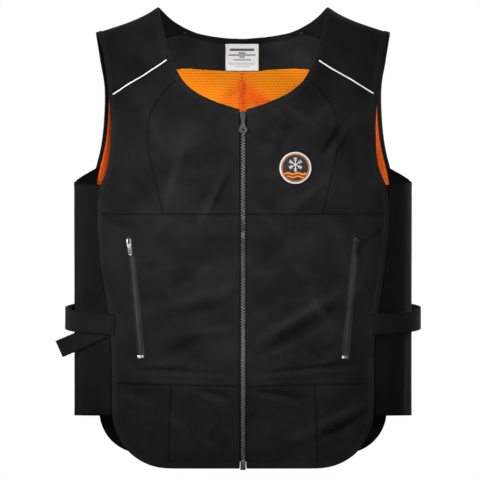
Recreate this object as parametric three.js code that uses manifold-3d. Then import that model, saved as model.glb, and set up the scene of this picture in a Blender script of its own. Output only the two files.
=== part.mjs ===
// A zip-front cooling vest in the form that it keeps when worn: two fronts of cloth panels,
// a back with an inner facing and a mesh lining, stretch side panels and side straps.
// Millimetres, Z up, the fronts face -Y, and left and right are the wearer's.
// The origin is the middle between the two neck points, where the shoulders carry the vest.
import * as THREE from "three";
import { mergeVertices } from "three/addons/utils/BufferGeometryUtils.js";
import Module from "manifold-3d";

const wasm = await Module();
wasm.setup();

// Body form
const LENGTH = 688; // neck point to the front hem
const BACK_LENGTH = 668; // neck point to the back hem
const FRONT_DEPTH = 114;
const BACK_DEPTH = 106;
const ROUNDNESS = 2.4; // 2 is an ellipse in plan, more is squarer
const SHOULDER_TURN_RADIUS = 260; // of the turn from the shoulders down into the chest

// Shoulders, neck and armholes
const NECK_HALF = 126;
const SHOULDER_HALF = 219.5;
const SHOULDER_DROP = 38.7;
const FRONT_NECK_DROP = 152.7;
const BACK_NECK_DROP = 46.2;
const ARMHOLE_DROP = 268;
const ARMHOLE_INSET = 23.3;
const BACK_ARMHOLE_DROP = 241;
const BACK_ARMHOLE_INSET = 13.5;

// Side edges and hems
const SIDE_REACH = 33; // the side panels stand out past the shoulder points
const FRONT_EDGE_INSET = 35; // side silhouette to the front's side edge
const BACK_EDGE_INSET = 32.5;
const BACK_EDGE_LEAN = 6;
const WAIST_INSET = 22.3; // the side edge draws in at the waist
const FRONT_CORNER = 84; // radius of the hem's corners
const BACK_CORNER = 65;
const SIDE_PANEL_TOP = 3; // the panel's mouth below the underarm point
const SIDE_PANEL_FOOT = 609;

// Seams
const PIPING_NECK_DROP = 76;
const PIPING_ARM_DROP = 132.6;
const PRINCESS_BELOW_PIPING = 26.8; // along Z, at the neckline
const PRINCESS_REACH = 142;
const CHEST_BELOW_ARMHOLE = 41;
const HEM_PANEL = 125;
const LOWER_SEAM_RISE = 4; // the lower seam rises from the zip to the side
const HEM_SEAM_TOP = 107.3;
const YOKE_BACK_NECK = 80; // where the back yoke seam meets the neckline, across
const YOKE_BACK_DROP = 75;
const FACING_DROP = 94.5;
const FACING_SIDE_DROP = 120;

// Cloth and trim
const CLOTH = 2;
const SEAM_GAP = 0.3;
const BINDING = 6;
const BINDING_PROUD = 0.5; // the binding stands out past each face of the cloth
const PIPING_RADIUS = 1.3;
const LINING = 1.2;
const STRETCH_CLOTH = 1.5;
const SIDE_SET_IN = 0.5; // the stretch cloth lies behind the face of the fronts
const SIDE_CLEARANCE = 0.005; // radians round the body, from a side panel to the edge beside it
const FOLD_HEIGHT = 3;
const FOLD_ZIP_CALM = 25.5; // the folds fade out this near to the zip
const FOLD_SIDE_INSET = 52.5; // side silhouette to where the folds end
const FOLD_SIDE_CALM = 17; // the folds fade out this near to where they end

// Centre zip
const ZIP_EDGE = 5; // from the middle to the edge of each front
const CHAIN_HALF = 3;
const CHAIN_BACK = 1.9;
const CHAIN_FACE = 1.3;
const TAPE_REACH = 17;
const TAPE = 0.9;
const ZIP_TOP_GAP = 8; // neckline to the first teeth
const SLIDER_TOP_GAP = 4;
const ZIP_BOX_HALF = 4;
const ZIP_BOX_HEIGHT = 14;
const ZIP_BOX_BELOW_HEM = 2;
const SLIDER_WIDTH = 9;
const SLIDER_HEIGHT = 11;
const SLIDER_POST = 2.4; // between the slider's two plates
const PULL_LENGTH = 28;
const PULL_WIDTH = 14;
const PULL_HOLE_RADIUS = 3;
const PULL_HOLE_DOWN = 0.8; // of the pull's length

// Pocket zips
const POCKET_BELOW_CHEST = 34;
const POCKET_ABOVE_LOWER_SEAM = 39;
const POCKET_TOP_ACROSS = 169.5;
const POCKET_FOOT_ACROSS = 152.2;
const SLOT_TOP_WIDTH = 9;
const SLOT_FOOT_WIDTH = 12.4;
const POCKET_TAPE_WIDTH = 22;
const POCKET_TAPE_DEPTH = 2; // back of the tape, behind the cloth's inner face
const COIL_WIDTH = 4.4;
const COIL_BACK = 0.7;
const COIL_FACE = 1.2;
const STOP_WIDTH = 9;
const STOP_HEIGHT = 4.5;
const STOP_FACE = 1.3;
const POCKET_SLIDER_WIDTH = 7.5;
const POCKET_SLIDER_HEIGHT = 9;
const POCKET_PULL_LENGTH = 24;
const POCKET_PULL_WIDTH = 7;
const POCKET_PULL_HOLE_RADIUS = 1.3;
const POCKET_PULL_HOLE_DOWN = 0.86; // of the pull's length

// Sliders and pulls
const PLATE = 1.2;
const SLIDER_CLEARANCE = 0.3;
const CROWN_WIDTH = 1.8;
const CROWN_WALL = 1;
const CROWN_HOLE_LENGTH = 5.6;
const PULL_THICKNESS = 1.4;
const PULL_BRIDGE = 1.45; // the bar of the pull that the crown holds
const PIVOT_CLEARANCE = 0.6; // from the bar's sides to the crown and the plate
const PULL_LEG_GAP = 0.4; // from the crown's sides to the pull's legs
const PULL_LEG_SHARE = 0.3; // of the pull's length that its legs take
const SLOT_CUT = 4; // how far the cutter of a pocket slot passes each face of the cloth

// Side straps
const STRAP_DROP = 473;
const STRAP_WIDTH = 31.5;
const STRAP = 1.8;
const STRAP_FRONT_INSET = 62.5; // side silhouette to the strap's front end
const STRAP_BACK_INSET = 52.5;
const STRAP_RISE = 18; // the back end is higher than the front end
const STRAP_LIFT = 2.9;
const STRAP_BOW = 11.1; // how far the loop stands off the side panel
const TAIL_WIDTH = 26;
const TAIL_ROOT_INSET = 44.5;
const TAIL_REACH = 63.6;
const TAIL_FALL = 28;
const TAIL_DROP_BELOW_STRAP = 9;
const TAIL_LEAVES_INSET = 28.5; // side silhouette to where the tail leaves the side panel
const TAIL_LIFT = 1.5;

// Label and badge
const LABEL_WIDTH = 50;
const LABEL_HEIGHT = 40.5;
const LABEL_ACROSS = -1.5;
const LABEL_THICKNESS = 0.8;
const LABEL_GAP = 0.5;
const BADGE_ACROSS = 77.8;
const BADGE_BELOW_NECKLINE = 87;
const BADGE_RADIUS = 24;
const BADGE_THICKNESS = 0.9;
const BADGE_GAP = 0.5;

// Shoulder line. along: from the neck point (0) to the shoulder point (1); drop: of SHOULDER_DROP.
const RIDGE = [
  { along: -1.35, drop: -1.24 },
  { along: -0.71, drop: -0.93 },
  { along: 0, drop: 0 },
  { along: 0.29, drop: 0.413 },
  { along: 0.64, drop: 0.724 },
  { along: 1, drop: 1 },
  { along: 1.35, drop: 1.29 },
];
// Depth of the body. down: of LENGTH; depth: of FRONT_DEPTH and BACK_DEPTH.
const GIRTH = [
  { down: 0, depth: 1 },
  { down: 0.35, depth: 1 },
  { down: 0.62, depth: 0.93 },
  { down: 0.82, depth: 0.96 },
  { down: 1, depth: 0.99 },
];
// Necklines. across: from the middle (0) to the neck point (1); down: of the neckline's drop.
const BACK_NECK = [
  { across: 0, down: 1 },
  { across: 0.25, down: 0.97 },
  { across: 0.473, down: 0.87 },
  { across: 0.618, down: 0.751 },
  { across: 0.775, down: 0.539 },
  { across: 0.905, down: 0.26 },
];
const FRONT_NECK = [
  { across: 0.947, down: 0.205 },
  { across: 0.887, down: 0.395 },
  { across: 0.833, down: 0.524 },
  { across: 0.785, down: 0.603 },
  { across: 0.722, down: 0.694 },
  { across: 0.603, down: 0.792 },
  { across: 0.471, down: 0.864 },
  { across: 0.328, down: 0.917 },
  { across: 0.18, down: 0.962 },
  { across: 0.04, down: 0.992 },
  { across: 0, down: 1 },
];
// Armholes. down: from the shoulder point (0) to the underarm (1); inset: of the armhole's inset.
const FRONT_ARMHOLE = [
  { down: 0.18, inset: 0.56 },
  { down: 0.345, inset: 0.76 },
  { down: 0.64, inset: 1 },
  { down: 0.88, inset: 0.78 },
];
const BACK_ARMHOLE = [
  { down: 0.206, inset: 0.48 },
  { down: 0.39, inset: 0.97 },
  { down: 0.6, inset: 0.93 },
  { down: 0.838, inset: 0.585 },
];
// Side edge of a front. down: from the underarm (0) to the hem's corner (1); inset: of WAIST_INSET.
const SIDE_EDGE = [
  { down: 0, inset: 0.2 },
  { down: 0.12, inset: 0 },
  { down: 0.285, inset: 0.2 },
  { down: 0.476, inset: 0.565 },
  { down: 0.58, inset: 0.834 },
  { down: 0.679, inset: 1 },
  { down: 0.83, inset: 0.985 },
  { down: 1, inset: 1.03 },
];
// Princess seam. down: from the neckline (0) to the chest seam (1); across: of PRINCESS_REACH.
const PRINCESS = [
  { down: 0.072, across: 0.777 },
  { down: 0.137, across: 0.865 },
  { down: 0.224, across: 0.946 },
  { down: 0.345, across: 0.997 },
  { down: 0.447, across: 1 },
  { down: 0.607, across: 0.97 },
  { down: 0.782, across: 0.906 },
  { down: 1, across: 0.833 },
];
// Lower edge of the facing. across: from the middle (0) to the armhole (1); fall: between the two drops.
const FACING_EDGE = [
  { across: 0, fall: 0 },
  { across: 0.25, fall: -0.12 },
  { across: 0.48, fall: -0.18 },
  { across: 0.75, fall: 0.3 },
  { across: 1, fall: 1 },
];
// Mouth of a side panel. round: from the front edge (0) to the back edge (1); rise: of the height between.
const MOUTH = [
  { round: 0, rise: 0 },
  { round: 0.5, rise: 0.13 },
  { round: 0.8, rise: 0.45 },
  { round: 1, rise: 1 },
];
// Broad folds of the fronts. across and down: the fold's middle, of the silhouette's half width and of
// LENGTH; turn: degrees that its crest rises to the wearer's left; long and wide: of the half width;
// rise: of FOLD_HEIGHT.
const FOLDS = [
  { across: -0.4, down: 0.66, turn: 24, long: 0.28, wide: 0.12, rise: 0.9 },
  { across: -0.3, down: 0.745, turn: 12, long: 0.26, wide: 0.1, rise: -0.8 },
  { across: 0.36, down: 0.63, turn: -28, long: 0.28, wide: 0.12, rise: 0.8 },
  { across: 0.42, down: 0.73, turn: -10, long: 0.26, wide: 0.1, rise: -0.7 },
  { across: -0.45, down: 0.8, turn: -3, long: 0.34, wide: 0.08, rise: 0.8 },
  { across: 0.5, down: 0.8, turn: 4, long: 0.3, wide: 0.08, rise: 0.8 },
  { across: -0.25, down: 0.91, turn: -34, long: 0.2, wide: 0.1, rise: 0.7 },
  { across: 0.46, down: 0.9, turn: 26, long: 0.22, wide: 0.1, rise: 0.7 },
  { across: -0.3, down: 0.42, turn: 62, long: 0.24, wide: 0.11, rise: 0.6 },
  { across: 0.24, down: 0.47, turn: -50, long: 0.2, wide: 0.1, rise: 0.5 },
];
// Outline of a slider. up: of its height from its middle; half: of half its width.
const SLIDER_PLATE = [
  { up: -0.5, half: 0.72 },
  { up: 0.12, half: 1 },
  { up: 0.5, half: 0.8 },
];
// Outlines of the pulls. down: of the pull's length from its pivot; half: of half the pull's width.
const RING_PULL = [
  { down: 0.2, half: 0.47 },
  { down: 0.42, half: 0.34 },
  { down: 0.62, half: 0.6 },
  { down: 0.78, half: 1 },
  { down: 0.91, half: 0.86 },
  { down: 1, half: 0.35 },
];
const TAB_PULL = [
  { down: 0.3, half: 0.92 },
  { down: 0.6, half: 0.8 },
  { down: 0.93, half: 0.72 },
  { down: 1, half: 0.4 },
];

const HALF_WIDTH = SHOULDER_HALF + SIDE_REACH;
const FRONT = -1;
const BACK = 1;
const QUARTER = Math.PI / 2;

// How many facets each seam is cut into; panels that meet share the same corners along it.
const FACET_COUNT = {
  neckYoke: 6,
  neckSide: 1,
  neckCentre: 7,
  backNeck: 4,
  backYoke: 4,
  yokeSeam: 4,
  armSide: 7,
  armYoke: 6,
  armBackYoke: 4,
  armFacing: 3,
  armLining: 5,
  sideUpper: 2,
  sideWaist: 10,
  sideHem: 2,
  cornerFoot: 5,
  cornerSide: 3,
  zipChest: 8,
  chestCentre: 7,
  chestSide: 4,
  hemCentre: 6,
  hemSide: 5,
  hemHeight: 5,
  backSide: 10,
  backCorner: 3,
  backHem: 5,
  sidePanel: 8,
  sideMouth: 3,
  pocket: 8,
  strap: 18,
  tail: 10,
  labelAcross: 3,
  labelDown: 2,
  badge: 6,
  pullHole: 12,
};

// The smooth curve through two columns of a table.
function through(rows, given, wanted, at) {
  const last = rows.length - 1;
  const slope = (i) => {
    const before = rows[Math.max(i - 1, 0)];
    const after = rows[Math.min(i + 1, last)];
    return (after[wanted] - before[wanted]) / (after[given] - before[given]);
  };
  if (at <= rows[0][given]) return rows[0][wanted] + slope(0) * (at - rows[0][given]);
  if (at >= rows[last][given]) return rows[last][wanted] + slope(last) * (at - rows[last][given]);
  const i = rows.findIndex((row) => row[given] > at) - 1;
  const step = rows[i + 1][given] - rows[i][given];
  const t = (at - rows[i][given]) / step;
  const ease = t * t * (3 - 2 * t);
  const bend = slope(i) * t * (1 - t) * (1 - t) - slope(i + 1) * t * t * (1 - t);
  return rows[i][wanted] * (1 - ease) + rows[i + 1][wanted] * ease + step * bend;
}

// Body surface. A place on the cloth is a Vector2: x across from the middle, and y the run of cloth
// from the shoulder line, below zero down the front and above zero down the back.
function ridge(across) {
  const along = (Math.abs(across) - NECK_HALF) / (SHOULDER_HALF - NECK_HALF);
  return -SHOULDER_DROP * through(RIDGE, "along", "drop", along);
}

function depthAt(face, z) {
  return (face < 0 ? FRONT_DEPTH : BACK_DEPTH) * through(GIRTH, "down", "depth", -z / LENGTH);
}

function bodyPoint(place) {
  const run = Math.abs(place.y);
  const turn = Math.min(run / SHOULDER_TURN_RADIUS, QUARTER);
  const straight = Math.max(0, run - SHOULDER_TURN_RADIUS * QUARTER);
  const z = ridge(place.x) - SHOULDER_TURN_RADIUS * (1 - Math.cos(turn)) - straight;
  const plan = (1 - (Math.abs(place.x) / HALF_WIDTH) ** ROUNDNESS) ** (1 / ROUNDNESS);
  const y = Math.sign(place.y) * depthAt(place.y, z) * plan * Math.sin(turn);
  return new THREE.Vector3(place.x, y, z);
}

function onFace(face, across, z) {
  const fall = Math.max(0, (ridge(across) - z) / SHOULDER_TURN_RADIUS);
  const run = fall < 1 ? Math.acos(1 - fall) : QUARTER + fall - 1;
  return new THREE.Vector2(across, face * run * SHOULDER_TURN_RADIUS);
}

function slopes(surface, place, reach = 0.5) {
  const step = (x, y) => surface(new THREE.Vector2(place.x + x, place.y + y));
  const across = step(reach, 0).sub(step(-reach, 0)).divideScalar(2 * reach);
  const along = step(0, reach).sub(step(0, -reach)).divideScalar(2 * reach);
  const out = new THREE.Vector3().crossVectors(across, along).normalize();
  return { across, along, out };
}

function foldAt(place) {
  if (place.y >= 0) return 0;
  const z = bodyPoint(place).z;
  const u = place.x / HALF_WIDTH;
  const v = z / HALF_WIDTH;
  const beforeEnd = HALF_WIDTH - FOLD_SIDE_INSET - Math.abs(place.x);
  if (beforeEnd < 0) return 0;
  const calmAtZip = 1 - Math.exp(-((place.x / FOLD_ZIP_CALM) ** 2));
  const calmAtSide = 1 - Math.exp(-((beforeEnd / FOLD_SIDE_CALM) ** 2));
  let rise = 0;
  for (const fold of FOLDS) {
    const angle = THREE.MathUtils.degToRad(fold.turn);
    const du = u - fold.across;
    const dv = v + (fold.down * LENGTH) / HALF_WIDTH;
    const along = (du * Math.cos(angle) + dv * Math.sin(angle)) / fold.long;
    const off = (dv * Math.cos(angle) - du * Math.sin(angle)) / fold.wide;
    rise += fold.rise * Math.exp(-along * along - off * off);
  }
  return FOLD_HEIGHT * rise * calmAtZip * calmAtSide;
}

function onBody(place, lift) {
  const out = slopes(bodyPoint, place).out;
  return bodyPoint(place).addScaledVector(out, lift + foldAt(place));
}

// Side surface: the same body, with a place given as the angle round the side and the height.
function roundSide(across, face) {
  return face * Math.acos((across / HALF_WIDTH) ** (ROUNDNESS / 2));
}

function sidePoint(side, angle, z) {
  const across = HALF_WIDTH * Math.cos(angle) ** (2 / ROUNDNESS);
  const plan = Math.abs(Math.sin(angle)) ** (2 / ROUNDNESS);
  const fall = Math.min(1, (ridge(across) - z) / SHOULDER_TURN_RADIUS);
  const y = Math.sign(angle) * depthAt(angle, z) * plan * Math.sin(Math.acos(1 - fall));
  return new THREE.Vector3(side * across, y, z);
}

function onSide(side, angle, z, lift) {
  const reach = 0.01;
  const round = sidePoint(side, angle + reach, z).sub(sidePoint(side, angle - reach, z));
  const up = sidePoint(side, angle, z + 1).sub(sidePoint(side, angle, z - 1));
  const out = new THREE.Vector3().crossVectors(round, up).normalize().multiplyScalar(side);
  return sidePoint(side, angle, z).addScaledVector(out, lift);
}

// Lines on the cloth
function lineThrough(places) {
  const line = new THREE.CatmullRomCurve3(
    places.map((place) => new THREE.Vector3(place.x, place.y, 0)),
    false,
    "centripetal",
  );
  line.arcLengthDivisions = 600;
  return line;
}

function stretchOf(line, from, to, facets) {
  return Array.from({ length: facets + 1 }, (_, i) => {
    const point = line.getPointAt(THREE.MathUtils.lerp(from, to, i / facets));
    return new THREE.Vector2(point.x, point.y);
  });
}

function shareWhere(line, isPast) {
  let low = 0;
  let high = 1;
  while (high - low > 1e-6) {
    const middle = (low + high) / 2;
    const point = line.getPointAt(middle);
    if (isPast(new THREE.Vector2(point.x, point.y))) high = middle;
    else low = middle;
  }
  return (low + high) / 2;
}

function heightOf(place) {
  return bodyPoint(place).z;
}

// A seam that looks straight from the front or the back.
function straightSeam(face, from, to, facets) {
  const a = bodyPoint(from);
  const b = bodyPoint(to);
  return Array.from({ length: facets + 1 }, (_, i) => {
    if (i === 0) return from;
    if (i === facets) return to;
    const point = a.clone().lerp(b, i / facets);
    return onFace(face, point.x, point.z);
  });
}

function mirrored(places) {
  return places.map((place) => new THREE.Vector2(-place.x, place.y));
}

function chain(...runs) {
  return runs.reduce((all, run) => all.concat(run.slice(1)));
}

// The move on the cloth that goes a distance in from each of two facets that meet at a corner.
function moveIn(place, before, after, gapBefore, gapAfter, turn) {
  const { across, along, out } = slopes(bodyPoint, place);
  const inwards = (from, to) => {
    const run = bodyPoint(to).sub(bodyPoint(from));
    return new THREE.Vector3().crossVectors(out, run).normalize().multiplyScalar(turn);
  };
  const first = inwards(before, place);
  const second = inwards(place, after);
  const match = first.dot(second);
  const move = new THREE.Vector3();
  if (match > 0.97) {
    move.addScaledVector(first.add(second).normalize(), Math.max(gapBefore, gapAfter));
  } else {
    move.addScaledVector(first, (gapBefore - match * gapAfter) / (1 - match * match));
    move.addScaledVector(second, (gapAfter - match * gapBefore) / (1 - match * match));
  }
  const [a, b, c] = [across.dot(across), across.dot(along), along.dot(along)];
  const [p, q] = [move.dot(across), move.dot(along)];
  const scale = a * c - b * b;
  return place.clone().add(new THREE.Vector2((p * c - q * b) / scale, (q * a - p * b) / scale));
}

// A line set in from another by one distance, its cloth on the line's left. ends: the places that the line
// goes on to at both ends, and the gaps kept there.
function setIn(places, gap, { before, beforeGap = gap, after, afterGap = gap }) {
  const last = places.length - 1;
  return places.map((place, i) =>
    moveIn(
      place,
      places[i - 1] ?? before,
      places[i + 1] ?? after,
      i === 0 ? beforeGap : gap,
      i === last ? afterGap : gap,
      1,
    ),
  );
}

// A panel's grid from its four edges. Each edge is a list of runs, each with its places and the gap that
// the panel keeps from it. Edges run from left to right and from bottom to top.
function panelGrid(edges) {
  const joined = {};
  for (const [name, runs] of Object.entries(edges)) {
    joined[name] = {
      places: chain(...runs.map((run) => run.places)),
      gaps: runs.flatMap((run) => Array(run.places.length - 1).fill(run.gap)),
    };
  }
  const { bottom, right, top, left } = joined;
  const loop = chain(
    bottom.places,
    right.places,
    [...top.places].reverse(),
    [...left.places].reverse(),
  ).slice(0, -1);
  const gaps = [...bottom.gaps, ...right.gaps, ...[...top.gaps].reverse(), ...[...left.gaps].reverse()];
  const count = loop.length;
  const turn = Math.sign(THREE.ShapeUtils.area(loop));
  const moved = loop.map((place, i) => {
    const last = (i + count - 1) % count;
    return moveIn(place, loop[last], loop[(i + 1) % count], gaps[last], gaps[i], turn);
  });
  const columns = bottom.gaps.length;
  const rows = right.gaps.length;
  const foot = moved.slice(0, columns + 1);
  const rightSide = moved.slice(columns, columns + rows + 1);
  const head = moved.slice(columns + rows, 2 * columns + rows + 1).reverse();
  const leftSide = [moved[0], ...moved.slice(2 * columns + rows).reverse()];
  return leftSide.map((start, r) =>
    foot.map((low, c) => {
      const u = c / columns;
      const v = r / rows;
      const ruled = low.clone().lerp(head[c], v).add(start.clone().lerp(rightSide[r], u));
      const corners = foot[0].clone().lerp(foot[columns], u).lerp(head[0].clone().lerp(head[columns], u), v);
      return ruled.sub(corners);
    }),
  );
}

// Closed solids
function closedMesh(positions, faces) {
  const geometry = new THREE.BufferGeometry();
  geometry.setAttribute("position", new THREE.Float32BufferAttribute(positions, 3));
  const corner = (i) => new THREE.Vector3().fromArray(positions, 3 * i);
  let volume = 0;
  for (let i = 0; i < faces.length; i += 3) {
    volume += corner(faces[i]).dot(corner(faces[i + 1]).cross(corner(faces[i + 2])));
  }
  geometry.setIndex(volume < 0 ? [...faces].reverse() : faces);
  geometry.computeVertexNormals();
  return geometry;
}

// A wall of cloth over a grid of places, from an inner to an outer lift.
function wall(grid, inner, outer, surface = onBody) {
  const rows = grid.length;
  const columns = grid[0].length;
  const layer = (lift) => grid.flat().flatMap((place) => surface(place, lift).toArray());
  const positions = [...layer(inner), ...layer(outer)];
  const at = (side, r, c) => (side * rows + r) * columns + c;
  const faces = [];
  const quad = (a, b, c, d) => faces.push(a, b, c, a, c, d);
  for (let r = 0; r < rows - 1; r += 1) {
    for (let c = 0; c < columns - 1; c += 1) {
      quad(at(1, r, c), at(1, r, c + 1), at(1, r + 1, c + 1), at(1, r + 1, c));
      quad(at(0, r, c), at(0, r + 1, c), at(0, r + 1, c + 1), at(0, r, c + 1));
    }
    quad(at(0, r, 0), at(1, r, 0), at(1, r + 1, 0), at(0, r + 1, 0));
    quad(at(1, r, columns - 1), at(0, r, columns - 1), at(0, r + 1, columns - 1), at(1, r + 1, columns - 1));
  }
  for (let c = 0; c < columns - 1; c += 1) {
    quad(at(1, 0, c), at(0, 0, c), at(0, 0, c + 1), at(1, 0, c + 1));
    quad(at(0, rows - 1, c), at(1, rows - 1, c), at(1, rows - 1, c + 1), at(0, rows - 1, c + 1));
  }
  return closedMesh(positions, faces);
}

// A round rod along a line of places, at one lift.
function rod(places, radius, lift, sides = 8) {
  const points = places.map((place) => onBody(place, lift));
  const positions = [];
  points.forEach((point, i) => {
    const ahead = points[Math.min(i + 1, points.length - 1)];
    const run = ahead.clone().sub(points[Math.max(i - 1, 0)]).normalize();
    const out = slopes(bodyPoint, places[i]).out;
    const beside = new THREE.Vector3().crossVectors(run, out).normalize();
    const above = new THREE.Vector3().crossVectors(beside, run);
    for (let k = 0; k < sides; k += 1) {
      const angle = (2 * Math.PI * k) / sides;
      const rim = point.clone().addScaledVector(beside, radius * Math.cos(angle));
      positions.push(...rim.addScaledVector(above, radius * Math.sin(angle)).toArray());
    }
  });
  const faces = [];
  const last = (points.length - 1) * sides;
  for (let k = 0; k < sides; k += 1) {
    const next = (k + 1) % sides;
    for (let i = 0; i < last; i += sides) {
      faces.push(i + k, i + next, i + sides + next, i + k, i + sides + next, i + sides + k);
    }
    if (k > 0 && k < sides - 1) {
      faces.push(0, next, k, last, last + k, last + next);
    }
  }
  return closedMesh(positions, faces);
}

function solidOf(geometry) {
  const bare = geometry.clone().deleteAttribute("normal");
  if (bare.hasAttribute("uv")) bare.deleteAttribute("uv");
  const merged = mergeVertices(bare, 1e-4);
  return new wasm.Manifold(
    new wasm.Mesh({
      numProp: 3,
      vertProperties: merged.attributes.position.array,
      triVerts: new Uint32Array(merged.index.array),
    }),
  );
}

function geometryOf(solid) {
  const { vertProperties, triVerts } = solid.getMesh();
  const geometry = new THREE.BufferGeometry();
  geometry.setAttribute("position", new THREE.BufferAttribute(vertProperties, 3));
  geometry.setIndex(new THREE.BufferAttribute(triVerts, 1));
  geometry.computeVertexNormals();
  return geometry;
}

function joinedOf(geometries) {
  return geometryOf(geometries.map(solidOf).reduce((whole, part) => whole.add(part)));
}

function cutBy(geometry, tool) {
  return geometryOf(solidOf(geometry).subtract(solidOf(tool)));
}

function blockBetween(low, high) {
  const size = high.clone().sub(low);
  const middle = high.clone().add(low).multiplyScalar(0.5);
  return new THREE.BoxGeometry(size.x, size.y, size.z).translate(middle.x, middle.y, middle.z);
}

// Lines of the pattern, on the wearer's left half. Outer lines run with the cloth on their left.
const sideTop = -ARMHOLE_DROP;
const chestSeam = -(ARMHOLE_DROP + CHEST_BELOW_ARMHOLE);
const lowerSeam = -(LENGTH - HEM_PANEL);
const cornerTop = -(LENGTH - FRONT_CORNER);

const neckPoint = new THREE.Vector2(NECK_HALF, 0);
const neckLine = lineThrough([
  ...BACK_NECK.map((row) => onFace(BACK, row.across * NECK_HALF, -row.down * BACK_NECK_DROP)),
  neckPoint,
  ...FRONT_NECK.map((row) =>
    onFace(FRONT, THREE.MathUtils.lerp(ZIP_EDGE, NECK_HALF, row.across), -row.down * FRONT_NECK_DROP),
  ),
]);

const sideEdgeAcross = (z) => {
  const down = (sideTop - z) / (sideTop - cornerTop);
  return HALF_WIDTH - FRONT_EDGE_INSET - WAIST_INSET * through(SIDE_EDGE, "down", "inset", down);
};
const sideEdgePlace = (z) => onFace(FRONT, sideEdgeAcross(z), z);
const sideEdgeRun = (from, to, facets) =>
  Array.from({ length: facets + 1 }, (_, i) => sideEdgePlace(THREE.MathUtils.lerp(from, to, i / facets)));

const backEdgeAcross = (z) => {
  const down = (-BACK_ARMHOLE_DROP - z) / (BACK_LENGTH - BACK_ARMHOLE_DROP);
  return HALF_WIDTH - BACK_EDGE_INSET - BACK_EDGE_LEAN * down;
};
const backEdgePlace = (z) => onFace(BACK, backEdgeAcross(z), z);

const armLine = lineThrough([
  sideEdgePlace(sideTop),
  ...[...FRONT_ARMHOLE].reverse().map((row) => {
    const z = -THREE.MathUtils.lerp(SHOULDER_DROP, ARMHOLE_DROP, row.down);
    return onFace(FRONT, SHOULDER_HALF - row.inset * ARMHOLE_INSET, z);
  }),
  new THREE.Vector2(SHOULDER_HALF, 0),
  ...BACK_ARMHOLE.map((row) => {
    const z = -THREE.MathUtils.lerp(SHOULDER_DROP, BACK_ARMHOLE_DROP, row.down);
    return onFace(BACK, SHOULDER_HALF - row.inset * BACK_ARMHOLE_INSET, z);
  }),
  backEdgePlace(-BACK_ARMHOLE_DROP),
]);

const neckShare = {
  backYoke: shareWhere(neckLine, (p) => p.y < 0 || p.x > YOKE_BACK_NECK),
  point: shareWhere(neckLine, (p) => p.y < 0),
  piping: shareWhere(neckLine, (p) => p.y < 0 && heightOf(p) < -PIPING_NECK_DROP),
  princess: shareWhere(neckLine, (p) => p.y < 0 && heightOf(p) < -(PIPING_NECK_DROP + PRINCESS_BELOW_PIPING)),
};
const armShare = {
  piping: shareWhere(armLine, (p) => p.y > 0 || heightOf(p) > -PIPING_ARM_DROP),
  point: shareWhere(armLine, (p) => p.y > 0),
  backYoke: shareWhere(armLine, (p) => p.y > 0 && heightOf(p) < -YOKE_BACK_DROP),
  facing: shareWhere(armLine, (p) => p.y > 0 && heightOf(p) < -FACING_SIDE_DROP),
};

const neck = {
  back: stretchOf(neckLine, 0, neckShare.backYoke, FACET_COUNT.backNeck),
  yokeBack: stretchOf(neckLine, neckShare.backYoke, neckShare.point, FACET_COUNT.backYoke),
  yokeFront: stretchOf(neckLine, neckShare.point, neckShare.piping, FACET_COUNT.neckYoke),
  side: stretchOf(neckLine, neckShare.piping, neckShare.princess, FACET_COUNT.neckSide),
  centre: stretchOf(neckLine, neckShare.princess, 1, FACET_COUNT.neckCentre),
};
const arm = {
  side: stretchOf(armLine, 0, armShare.piping, FACET_COUNT.armSide),
  yokeFront: stretchOf(armLine, armShare.piping, armShare.point, FACET_COUNT.armYoke),
  yokeBack: stretchOf(armLine, armShare.point, armShare.backYoke, FACET_COUNT.armBackYoke),
  facing: stretchOf(armLine, armShare.backYoke, armShare.facing, FACET_COUNT.armFacing),
  lining: stretchOf(armLine, armShare.facing, 1, FACET_COUNT.armLining),
};

const pipingSeam = straightSeam(FRONT, neck.side[0], arm.yokeFront[0], FACET_COUNT.yokeSeam);
const backYokeSeam = straightSeam(BACK, neck.yokeBack[0], arm.facing[0], FACET_COUNT.yokeSeam);
const facingSeam = Array.from({ length: FACET_COUNT.backNeck + FACET_COUNT.yokeSeam + 1 }, (_, i) => {
  const end = arm.lining[0];
  const across = i / (FACET_COUNT.backNeck + FACET_COUNT.yokeSeam);
  const fall = through(FACING_EDGE, "across", "fall", across);
  if (across === 1) return end;
  return onFace(BACK, across * end.x, THREE.MathUtils.lerp(-FACING_DROP, heightOf(end), fall));
});

const princessTop = heightOf(neck.centre[0]);
const princessLine = lineThrough([
  neck.centre[0],
  ...PRINCESS.map((row) => {
    const z = THREE.MathUtils.lerp(princessTop, chestSeam, row.down);
    return onFace(FRONT, row.across * PRINCESS_REACH, z);
  }),
]);
const princess = stretchOf(princessLine, 1, 0, FACET_COUNT.zipChest);

function levelSeam(fromAcross, toAcross, fromZ, toZ, facets) {
  return Array.from({ length: facets + 1 }, (_, i) => {
    const share = i / facets;
    const z = THREE.MathUtils.lerp(fromZ, toZ, share);
    return onFace(FRONT, THREE.MathUtils.lerp(fromAcross, toAcross, share), z);
  });
}

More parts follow.
